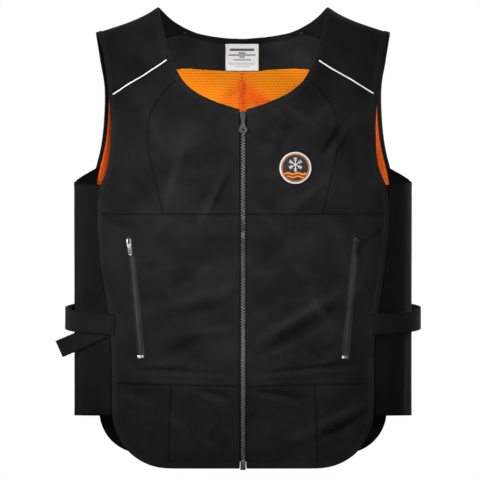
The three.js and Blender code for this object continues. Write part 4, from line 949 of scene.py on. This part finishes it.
# %% Lining
LINING_FOLDS = [Fold(*row) for row in (
    (-1, 140, 90, 60, 6, -1.1), (-26, 128, 38, 30, 7, -1.0), (24, 132, -40, 30, 7, -0.9),
    (-44, 150, 20, 34, 6, -1.6), (46, 148, -24, 34, 6, -1.8), (-10, 250, 80, 90, 9, -2.4),
    (60, 300, 66, 90, 10, -2.2), (-80, 320, -60, 90, 10, -2.2), (30, 450, 84, 90, 10, -2.4),
    (-60, 520, 76, 80, 9, -2.2), (90, 500, -80, 80, 9, -2.0),
)]
LINING_GAP = 0.25
SHADED_FROM = 150
SHADED_OVER = 60
SHADED_MOST = 0.75
DEEP_FOLD = 9.0


def lining_push(points):
    across, down = across_and_down(points)
    calm = np.clip((down - 92) / 12, 0, 1) * np.clip((216 - np.abs(across)) / 20, 0, 1)
    return (fold_field(across, down, LINING_FOLDS) - LINING_GAP) * calm * MM


lining = make_cloth(
    "back_lining", orange_mesh, "lining_mesh", bevel=0, puckers=0.2, pushed=lining_push, under=0
)
cloths["back_lining"] = lining
lining_points = points_of(lining)
shaded = np.clip((np.abs(lining_points[:, 0]) / MM - SHADED_FROM) / SHADED_OVER, 0, SHADED_MOST)
folded = np.clip(-lining_push(lining_points) / MM / DEEP_FOLD, 0, 1)
give_attribute(lining, "fold", np.maximum(shaded, folded))
print("lining:", len(lining.data.polygons))

# %% [markdown]
# Folded bindings close the neckline, the armholes and the edges. Under a Subdivision Surface a flat bar
# with a light crease turns into the soft cushion of a folded tape. The ends are creased fully, so that
# they stay where they meet the zip and each other.

# %% Bindings
BINDING_CREASE = 0.45
BINDING_OVERLAP = 2.8
BINDING_RIPPLE = 0.22
RIPPLE_SCALE = 240
PANELS = ["back_panel"] + [
    f"{panel}_{side}"
    for panel in ("yoke", "chest_centre", "chest_side", "waist", "hem_centre", "hem_side")
    for side in SIDES
]
panel_tree = tree_of(*(nodes[name] for name in PANELS))


def make_binding(stand_in):
    piece = copy_of(stand_in, f"{stand_in}_tape")
    grow_rim(piece, BINDING_OVERLAP, panel_tree)
    crease_rim(piece, BINDING_CREASE)
    in_edit_mode(piece, "DESELECT")
    bpy.ops.mesh.select_mode(type="FACE")
    mesh = bmesh.from_edit_mesh(piece.data)
    for face in mesh.faces:
        face.select = 4 == sum(edge.calc_face_angle(0) > RIM_ANGLE for edge in face.edges if edge.is_manifold)
    bmesh.update_edit_mesh(piece.data)
    bpy.ops.transform.edge_crease(value=1.0)
    out_of_edit_mode()
    subdivide(piece)
    points = map_round(piece)
    height = push(points) + noise_at(points, RIPPLE_SCALE) * BINDING_RIPPLE * MM
    move_to(piece, points + outward(points) * height[:, None])
    give_attribute(piece, "edge", np.full(len(points), 0.5))
    return dress(piece, binding_cotton, stand_in)


bindings = [make_binding(stand_in) for stand_in in BINDINGS]
print("bindings:", [piece.name for piece in bindings])

# %% [markdown]
# The piping is a thin cord along the yoke seam. Its stand-in is a rod with eight sides, so a Subdivision
# Surface with creased ends is all that it needs.

# %% Piping
for side in SIDES:
    piece = copy_of(f"piping_{side}", f"piping_{side}_cord")
    crease_rim(piece, angle=math.radians(60))
    subdivide(piece)
    points = points_of(piece)
    move_to(piece, points + outward(points) * push(points)[:, None])
    dress(piece, piping_tape, f"piping_{side}")
print("piping ready")

# %% [markdown]
# The side panels are of a stretch knit that hangs slack between the fronts and the back, so soft ripples
# run down it. They only go inwards, to stay clear of the strap that passes over them.

# %% Side panels
Ripple = namedtuple("Ripple", "round wide depth sway")
SIDE_RIPPLES = [
    Ripple(-34, 9, 1.6, 0.6),
    Ripple(-12, 7, 1.2, 1.9),
    Ripple(10, 10, 1.9, 3.1),
    Ripple(34, 8, 1.4, 4.2),
    Ripple(52, 7, 1.0, 5.0),
]
SIDE_UNDER_BACK = 5.0


def side_push(points):
    around, down = points[:, 1] / MM, -points[:, 2] / MM
    height = np.zeros(len(points))
    for ripple in SIDE_RIPPLES:
        middle = ripple.round + 4 * np.sin(down / 70 + ripple.sway)
        strength = 0.55 + 0.45 * np.sin(down / 95 + 2 * ripple.sway)
        height -= ripple.depth * strength * np.exp(-(((around - middle) / ripple.wide) ** 2))
    return height * MM


back_tree = tree_of(nodes["back_panel"])
under_back = {"bevel": 0.4, "pushed": side_push, "under": SIDE_UNDER_BACK, "hidden_by": back_tree}
for side in SIDES:
    stand_in = f"side_panel_{side}"
    cloths[stand_in] = make_cloth(stand_in, stretch_knit, "stretch_cloth", **under_back)
print("side panels:", [len(cloths[f"side_panel_{side}"].data.polygons) for side in SIDES])

# %% [markdown]
# The side straps are hook and loop bands. They keep their even width and their square cut ends, and a
# slight wave shows that they are handled. The loose end on the wearer's right is cut on a slant.

# %% Straps
STRAP_WAVE = 0.3
WAVE_SCALE = 45


def make_strap(stand_in):
    piece = copy_of(stand_in, f"{stand_in}_band")
    crease_rim(piece)
    subdivide(piece)
    rim = rim_of(piece)
    soften_rim(piece, 0.5)
    points = map_round(piece)
    distance = rim_distance(piece, rim)
    wave = noise_at(points, WAVE_SCALE) * STRAP_WAVE * MM
    move_to(piece, points + outward(points) * wave[:, None])
    give_attribute(piece, "edge", np.exp(-((distance / SEAM_SHADE) ** 2)))
    return dress(piece, webbing, stand_in)


straps = {name: make_strap(name) for name in ("strap_left", "strap_right", "strap_tail_right")}
print("straps:", list(straps))

# %% [markdown]
# The centre zip is of metal, with a tooth every four millimetres or so on each tape, set by half a step
# against the other side. One tooth is modelled from a cube, with its head pinched in where it locks.
# It is then copied along the chain, whose bend is read from the stand-in.

# %% Centre zip
TOOTH_PITCH = 4.4
TOOTH_SIZE = (3.2, 3.0, 1.9)
TOOTH_OFFSET = 1.35
TOOTH_EDGE = 0.32
HEAD_PINCH = (0.86, 0.72)
TILT_STEP = 0.01


def join_copies(name, model, places):
    """One mesh of many copies of a small model, each turned and placed by its own matrix."""
    base = points_of(model)
    faces = [tuple(face.vertices) for face in model.data.polygons]
    count = len(base)
    points = np.concatenate([base @ np.array(place.to_3x3()).T + np.array(place.translation) for place in places])
    mesh = bpy.data.meshes.new(name)
    mesh.from_pydata(points, [], [tuple(i * count + v for v in face) for i in range(len(places)) for face in faces])
    mesh.update()
    bpy.data.objects.remove(model)
    return linked(name, mesh)


def tooth_model():
    tooth = added(bpy.ops.mesh.primitive_cube_add, size=1)
    points = points_of(tooth) * np.array(TOOTH_SIZE) * MM
    head = points[:, 0] < 0
    points[head, 1:] *= HEAD_PINCH
    points[:, 0] += TOOTH_OFFSET * MM
    move_to(tooth, points)
    finish_with(tooth, "BEVEL", width=TOOTH_EDGE * MM, segments=1, limit_method="NONE")
    return tooth


chain_points = stand_in_points("zip_chain")
chain_levels = np.unique(np.round(chain_points[:, 2], 4))
chain_depths = [chain_points[np.abs(chain_points[:, 2] - level) < 0.0002][:, 1].mean() for level in chain_levels]
chain_low, chain_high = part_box("zip_chain")


def chain_depth(z):
    return np.interp(z, chain_levels, chain_depths)


places = []
for side, sign in SIDES.items():
    level = chain_low.z / MM + TOOTH_PITCH / 2 + (0 if sign > 0 else TOOTH_PITCH / 2)
    facing = Matrix.Rotation(0 if sign > 0 else math.pi, 4, "Z")
    while level < chain_high.z / MM:
        z = level * MM
        y = float(chain_depth(z))
        tilt = math.atan2(float(chain_depth(z + TILT_STEP)) - y, TILT_STEP)
        places.append(Matrix.Translation((0, y, z)) @ Matrix.Rotation(-tilt, 4, "X") @ facing)
        level += TOOTH_PITCH
cord = copy_of("zip_chain", "zip_tape_edges")
points = points_of(cord)
points[:, 1] = np.maximum(points[:, 1], chain_depth(points[:, 2]))
move_to(cord, points)
flat_map(cord, points[:, 0], points[:, 2])
dress(cord, zip_cotton)

teeth = join_copies("zip_teeth", tooth_model(), places)
dress(teeth, teeth_metal, "zip_chain", smooth=math.radians(25))
print("teeth:", len(places))

# %% [markdown]
# The slider, its pull, the box at the foot and the small pocket fittings are cast metal. Their stand-ins
# have every hole and arch in place, so a copy is merged, and a fine bevel gives it the rounded edges of a
# casting.

# %% Sliders, pulls and stops
CASTING_EDGE = 0.28
CASTINGS = [
    ("zip_slider", gunmetal, "dark_hardware", "vest"),
    ("zip_pull", gunmetal, "dark_hardware", "centre_pull"),
    ("zip_box", gunmetal, "dark_hardware", "vest"),
]
for side in SIDES:
    pull_metal = bright_steel if side == "right" else gunmetal
    CASTINGS += [
        (f"pocket_stop_{side}", bright_steel, "bright_hardware", "vest"),
        (f"pocket_slider_{side}", gunmetal, "dark_hardware", "vest"),
        (f"pocket_pull_{side}", pull_metal, "dark_hardware", f"{side}_pocket_pull"),
    ]
for stand_in, material, slot, body in CASTINGS:
    piece = start_copy(stand_in, f"{stand_in}_metal", merge_mm=0.02)
    bpy.ops.mesh.dissolve_limited(angle_limit=math.radians(2))
    out_of_edit_mode()
    edges = {"limit_method": "ANGLE", "angle_limit": math.radians(28), "use_clamp_overlap": True}
    finish_with(piece, "BEVEL", width=CASTING_EDGE * MM, segments=3, **edges)
    dress(piece, material, stand_in, body, math.radians(35))
print("castings:", [name for name, *_ in CASTINGS])

# %% [markdown]
# A coil zip is one plastic thread wound to and fro along each tape. Closed, it shows as two rows of short
# bars that meet in the middle. One bar is a stretched sphere, copied down both rows. The tapes that the
# zips are sewn to run in under the cloth beside them.

# %% Pocket zips
BAR_PITCH = 1.25
BAR_HALF = (1.25, 0.62, 0.5)
BAR_OFFSET = 1.05
TAPE_GROWTH = 1.2


def coil_bar():
    bar = added(bpy.ops.mesh.primitive_uv_sphere_add, segments=8, ring_count=6, radius=1)
    points = points_of(bar) * np.array(BAR_HALF) * MM
    points[:, 0] += BAR_OFFSET * MM
    move_to(bar, points)
    return bar


def bar_places(side):
    stand_in = f"pocket_coil_{side}"
    line, tree = pocket_line(side), tree_of(nodes[stand_in])
    foot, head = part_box(stand_in)
    half_turn = Matrix.Rotation(math.pi, 4, "Y")
    places = []
    for z in np.arange(foot.z, head.z - BAR_PITCH * MM, BAR_PITCH * MM):
        middle, above = Vector(line(z + BAR_PITCH * MM / 2)), Vector(line(z + TILT_STEP))
        hit = tree.ray_cast(middle - Vector((0, 0.02, 0)), Vector((0, 1, 0)))[0]
        if hit is None:
            continue
        axis = (above - middle).normalized()
        out = Vector(outward(np.array([hit]))[0])
        out = (out - axis * out.dot(axis)).normalized()
        turn = Matrix((axis.cross(out), -out, axis)).transposed().to_4x4()
        spot = Matrix.Translation(hit - out * BAR_HALF[1] * MM) @ turn
        places += [spot, Matrix.Translation(axis * BAR_PITCH / 2 * MM) @ spot @ half_turn]
    return places


for side in SIDES:
    coil = join_copies(f"pocket_coil_{side}_bars", coil_bar(), bar_places(side))
    dress(coil, coil_plastic, f"pocket_coil_{side}")

for name, material in (("zip_tape", zip_cotton), ("pocket_tape", grey_and_lit_pocket_cotton)):
    for side in SIDES:
        piece = copy_of(f"{name}_{side}", f"{name}_{side}_woven")
        grow_rim(piece, TAPE_GROWTH)
        crease_rim(piece)
        subdivide(piece, levels=2)
        map_round(piece)
        dress(piece, material, f"{name}_{side}")
print("zip tapes ready")

# %% [markdown]
# The label is sewn under the back neckline. It is thin and a little stiff, so its foot curls off the
# facing.

# %% Label
label = copy_of("neck_label", "neck_label_satin")
crease_rim(label)
subdivide(label, levels=4)
points = points_of(label)
low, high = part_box("neck_label")
middle = (low + high) / 2
flat_map(label, points[:, 0] - middle.x, middle.z - points[:, 2])
fall = (high.z - points[:, 2]) / (high.z - low.z)
curl = -1.6 * fall**2 - 0.5 * np.sin((points[:, 0] - low.x) * 90) * fall
points[:, 1] += curl * MM
move_to(label, points)
dress(label, label_satin, "neck_label")
print("label:", [round(v / MM) for v in (high.x - low.x, high.z - low.z)], "mm")

# %% [markdown]
# The patch on the chest is round and embroidered: a black field, a raised white rim, a snow star and
# two waves. Its motifs are modelled flat from ribbons of thread, and then laid on the curved cloth.

# %% Chest patch
PATCH_RADIUS = 24.0
RIBBON_PROFILE = ((-1.0, 0.0), (-0.75, 0.8), (0.0, 1.0), (0.75, 0.8), (1.0, 0.0))
Motif = namedtuple("Motif", "line half lift")


def ribbon_mesh(name, motifs):
    """Flat raised ribbons along lines that are given in millimetres from the patch's middle."""
    points, faces = [], []
    width = len(RIBBON_PROFILE)
    for line, half, lift in motifs:
        run = np.gradient(line, axis=0)
        run /= np.linalg.norm(run, axis=1, keepdims=True)
        beside = np.stack([-run[:, 1], run[:, 0]], axis=1)
        first = len(points)
        for spot, side in zip(line, beside):
            for off, up in RIBBON_PROFILE:
                x, z = spot + side * off * half
                points.append((x, -lift * up, z))
        for start in range(first, first + (len(line) - 1) * width, width):
            faces += [(start + k, start + k + 1, start + k + width + 1, start + k + width) for k in range(width - 1)]
            faces.append((start + width - 1, start, start + width, start + 2 * width - 1))
        faces.append(tuple(first + k for k in reversed(range(width))))
        faces.append(tuple(first + (len(line) - 1) * width + k for k in range(width)))
    mesh = bpy.data.meshes.new(name)
    mesh.from_pydata([tuple(v * MM for v in point) for point in points], [], faces)
    mesh.update()
    piece = linked(name, mesh)
    in_edit_mode(piece)
    bpy.ops.mesh.normals_make_consistent(inside=False)
    out_of_edit_mode()
    return piece


def toward(turn):
    return np.array([math.cos(turn), math.sin(turn)])


def star_motifs(middle, reach):
    motifs = []
    for arm in range(6):
        turn = math.radians(60 * arm + 30)
        run = toward(turn)
        motifs.append(Motif(np.linspace(middle + run * 0.3, middle + run * reach, 4), 0.62, 0.55))
        for share in (0.52, 0.78):
            root = middle + run * reach * share
            for lean in (-1, 1):
                branch = toward(turn + lean * math.radians(52)) * reach * 0.3
                motifs.append(Motif(np.linspace(root, root + branch, 4), 0.45, 0.5))
    return motifs


def wave_line(level, reach):
    x = np.linspace(-reach, reach, 40)
    return np.stack([x, level + 1.1 * np.sin(x * 0.42)], axis=1)


def circle_line(radius):
    turns = np.linspace(0, 2 * math.pi, 97)
    return np.stack([radius * np.cos(turns), radius * np.sin(turns)], axis=1)


patch = make_cloth("chest_badge", black_embroidery, "patch_cloth", levels=2, bevel=0.15, puckers=0.0, under=0)
patch_surface = tree_of(patch)
patch_low, patch_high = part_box("chest_badge")
patch_middle = (patch_low + patch_high) / 2


def lay_on_patch(piece, material):
    points = points_of(piece)
    laid = []
    for x, lift, z in points:
        spot = Vector((patch_middle.x + x, patch_low.y - 0.02, patch_middle.z + z))
        hit = patch_surface.ray_cast(spot, Vector((0, 1, 0)))[0]
        y = hit.y if hit else patch_middle.y
        laid.append((spot.x, y + lift + 0.05 * MM, spot.z))
    move_to(piece, np.array(laid))
    flat_map(piece, points[:, 0], points[:, 2])
    return dress(piece, material)


RIBBONS = [
    ("patch_rim", white_embroidery, [Motif(circle_line(PATCH_RADIUS - 1.5), 1.25, 0.9)]),
    ("patch_inner_rim", orange_embroidery, [Motif(circle_line(PATCH_RADIUS - 4.2), 0.5, 0.5)]),
    ("patch_star", white_embroidery, star_motifs(np.array([0.0, 5.0]), 10.5)),
    (
        "patch_waves",
        orange_embroidery,
        [Motif(wave_line(-8.6, 16.4), 1.5, 0.55), Motif(wave_line(-13.4, 12.6), 1.2, 0.55)],
    ),
]
for name, material, motifs in RIBBONS:
    lay_on_patch(ribbon_mesh(name, motifs), material)
print("patch:", PATCH_RADIUS * 2, "mm across")

# %% [markdown]
# Every seam is topstitched. A stitch shows as a short bead of thread that dips into the cloth at both
# ends. One bead is modelled, and copies of it follow lines that run beside the seams. Each line is read
# from the edge of a stand-in, moved in by the stitch's distance, and settled on the finished cloth.

# %% Stitches
STITCH_PITCH = 3.1
STITCH_HALF = 1.25
THREAD_RADIUS = 0.24
SETTLE_REACH = 0.012


def stitch_model():
    stitch = added(
        bpy.ops.mesh.primitive_uv_sphere_add, segments=6, ring_count=5, radius=1, rotation=(0, math.pi / 2, 0)
    )
    bpy.ops.object.transform_apply(location=False, rotation=True, scale=False)
    points = points_of(stitch)
    points[:, 2] -= 0.9 * points[:, 0] ** 2 - 0.55
    move_to(stitch, points * np.array((STITCH_HALF, THREAD_RADIUS, THREAD_RADIUS)) * MM)
    return stitch


def stitch_places(line, tree):
    """Places along a line of points, each settled on the cloth and turned along the line."""
    runs = distance_along(line)
    count = max(2, int(runs[-1] / MM / STITCH_PITCH))
    at = (np.arange(count) + 0.5) * runs[-1] / count
    behind, spots, ahead = (
        np.stack([np.interp(at + shift, runs, line[:, axis]) for axis in range(3)], axis=1)
        for shift in (-MM, 0, MM)
    )
    places = []
    for spot, run, out in zip(spots, ahead - behind, outward(spots)):
        hit, normal, _, _ = tree.ray_cast(Vector(spot + out * SETTLE_REACH), Vector(-out), 2 * SETTLE_REACH)
        if hit is None:
            continue
        run = Vector(run)
        run = (run - normal * run.dot(normal)).normalized()
        turn = Matrix((run, normal.cross(run).normalized(), normal)).transposed().to_4x4()
        places.append(Matrix.Translation(hit) @ turn)
    return places


def rim_runs(stand_in):
    """The outer rim of a panel as an ordered closed loop, with the direction into the panel at each point."""
    loop = outer_rim(stand_in)
    if np.allclose(loop[0], loop[-1]):
        loop = loop[:-1]
    run = np.roll(loop, -1, axis=0) - np.roll(loop, 1, axis=0)
    run /= np.linalg.norm(run, axis=1, keepdims=True)
    inward = np.cross(outward(loop), run)
    if np.einsum("ij,ij->i", inward, loop.mean(axis=0) - loop).sum() < 0:
        inward = -inward
    return loop, inward


def edge_line(stand_in, wanted, inset):
    """The run of a panel's rim where wanted is true, moved into the panel by a distance."""
    loop, inward = rim_runs(stand_in)
    count = len(loop)
    keep = np.array([wanted(point) for point in loop])
    if keep.all():
        chosen = [*range(count), 0]
    else:
        start = next(i for i in range(count) if keep[i] and not keep[i - 1])
        chosen = []
        while keep[(start + len(chosen)) % count] and len(chosen) < count:
            chosen.append((start + len(chosen)) % count)
    if len(chosen) < 3:
        return None
    turns = inward[chosen]
    turns[0], turns[-1] = turns[1], turns[-2]
    return smooth_line(loop[chosen] + turns * inset * MM, 12 * len(chosen))


def stitch_seam(stand_in, wanted, insets):
    tree = tree_of(cloths[stand_in])
    lines = [edge_line(stand_in, wanted, inset) for inset in insets]
    return [place for line in lines if line is not None for place in stitch_places(line, tree)]


def top_of(stand_in):
    return lambda point: point[2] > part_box(stand_in)[1].z - 4 * MM


def foot_of(stand_in):
    return lambda point: point[2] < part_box(stand_in)[0].z + 6 * MM


def region(across, down):
    """A test for places on the front, by their distances from the middle and below the shoulders."""
    return lambda point: (
        point[1] < 0
        and across[0] < abs(point[0]) / MM < across[1]
        and down[0] < -point[2] / MM < down[1]
    )


near_zip = region((0, 6), (0, 700))
princess = region((0, 146), (116, 306))
yoke_foot = region((130, 195), (78, 700))
hem_split = region((100, 120), (566, 680))

front_places = {side: [] for side in SIDES}
for side in SIDES:
    seams = [(panel, near_zip, (1.6, 7.5)) for panel in ("chest_centre", "waist", "hem_centre")]
    seams += [("waist", top_of(f"waist_{side}"), (1.6, 7.0)), ("waist", foot_of(f"waist_{side}"), (1.6,))]
    seams += [(panel, top_of(f"{panel}_{side}"), (1.6,)) for panel in ("hem_centre", "hem_side")]
    seams += [("chest_side", princess, (1.6,)), ("yoke", yoke_foot, (1.2,)), ("hem_centre", hem_split, (1.4,))]
    for panel, wanted, insets in seams:
        front_places[side] += stitch_seam(f"{panel}_{side}", wanted, insets)
print("seam stitches:", {side: len(places) for side, places in front_places.items()})

# %% [markdown]
# A box of stitches surrounds each pocket, and a smaller box holds the front end of each strap.

# %% Stitches of pockets and straps
POCKET_MARGIN = 2.2
STRAP_ROWS = (4.0, 13.0)
STRAP_MARGINS = (2.0, 3.0)

for side in SIDES:
    low, high, lean, beside = slot_frame(side)
    corners = []
    for end, half, over in ((low, SLOT_HALF_FOOT, -1), (high, SLOT_HALF_TOP, 1)):
        for wing in (over, -over):
            reach = beside * wing * (half + POCKET_MARGIN) + lean * over * POCKET_MARGIN
            corners.append(end + reach * MM)
    corners.append(corners[0])
    line = np.concatenate([np.linspace(a, b, 24) for a, b in zip(corners, corners[1:])])
    front_places[side] += stitch_places(line, tree_of(cloths[f"waist_{side}"]))

strap_places = []
for side, sign in SIDES.items():
    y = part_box(f"strap_{side}")[0].y
    points = stand_in_points(f"strap_{side}")
    front_end = points[points[:, 1] < y + 3 * MM]
    edge = np.abs(front_end[:, 0]).min()
    low, high = front_end[:, 2].min(), front_end[:, 2].max()
    near, far = (sign * (edge + row * MM) for row in STRAP_ROWS)
    row_margin, level_margin = (margin * MM for margin in STRAP_MARGINS)
    lines = [np.linspace((x, y, low + row_margin), (x, y, high - row_margin), 12) for x in (near, far)]
    lines += [np.linspace((near, y, z), (far, y, z), 8) for z in (low + level_margin, high - level_margin)]
    tree = tree_of(straps[f"strap_{side}"])
    for line in lines:
        strap_places += stitch_places(line, tree)

rows = [(f"stitches_{side}", places, "outer_cloth") for side, places in front_places.items()]
rows.append(("stitches_straps", strap_places, "strap_webbing"))
for name, places, slot in rows:
    stitches = join_copies(name, stitch_model(), places)
    points = points_of(stitches)
    flat_map(stitches, points[:, 0], points[:, 2])
    dress(stitches, thread)
print("stitches:", sum(len(places) for _, places, _ in rows))

# %% [markdown]
# The panels are sheets of cloth, and the size that each was cut to is worked out and printed. The cut is read
# from the stand-in, whose faces lie as the cloth did before its folds were pushed in. A piece that crosses
# the middle is measured along its curve, and the others by their distance round the body.

LEAST_FILL = 0.35
BACK_COLUMNS = 12


def cut_of(stand_in):
    """Width, length and area of a panel's cut, in metres."""
    mesh = nodes[stand_in].data
    points = stand_in_points(stand_in)
    middles = np.array([face.center for face in mesh.polygons])
    facing = np.abs(np.einsum("ij,ij->i", np.array([face.normal for face in mesh.polygons]), outward(middles)))
    area = sum(face.area for face, share in zip(mesh.polygons, facing) if share > 0.5) / 2
    width = np.ptp(round_distance(points))
    if points[:, 0].min() < 0 < points[:, 0].max():
        columns = np.array_split(points[np.argsort(points[:, 0]), :2], BACK_COLUMNS)
        curve = np.array([column.mean(axis=0) for column in columns])
        width = np.ptp(points[:, 0]) * distance_along(curve)[-1] / np.ptp(curve[:, 0])
    length = min(max(area / width, np.ptp(points[:, 2])), area / width / LEAST_FILL)
    return width, length, area


flat_sizes = {}
for stand_in, piece in cloths.items():
    width, length, area = cut_of(stand_in)
    flat_sizes[stand_in] = [round(width, 3), round(length, 3), round(area, 4)]
print("cuts:", flat_sizes)

# %% [markdown]
# The floor is the only thing in the picture that isn't the vest. It gets a plain pale finish with a
# little unevenness.

# %% Floor
FLOOR_LEVEL = -0.75
FLOOR_HALF = 0.85

floor = added(bpy.ops.mesh.primitive_plane_add, size=2 * FLOOR_HALF, location=(0, 0, FLOOR_LEVEL))
floor.name = "floor"
floor_paint = Finish("pale_floor", (0.8, 0.8, 0.79), 0.7)
floor_paint.paint(floor_paint.blend(floor_paint.noise(300), (0.82, 0.82, 0.81), (0.77, 0.77, 0.76)))
floor.data.materials.append(floor_paint.material)
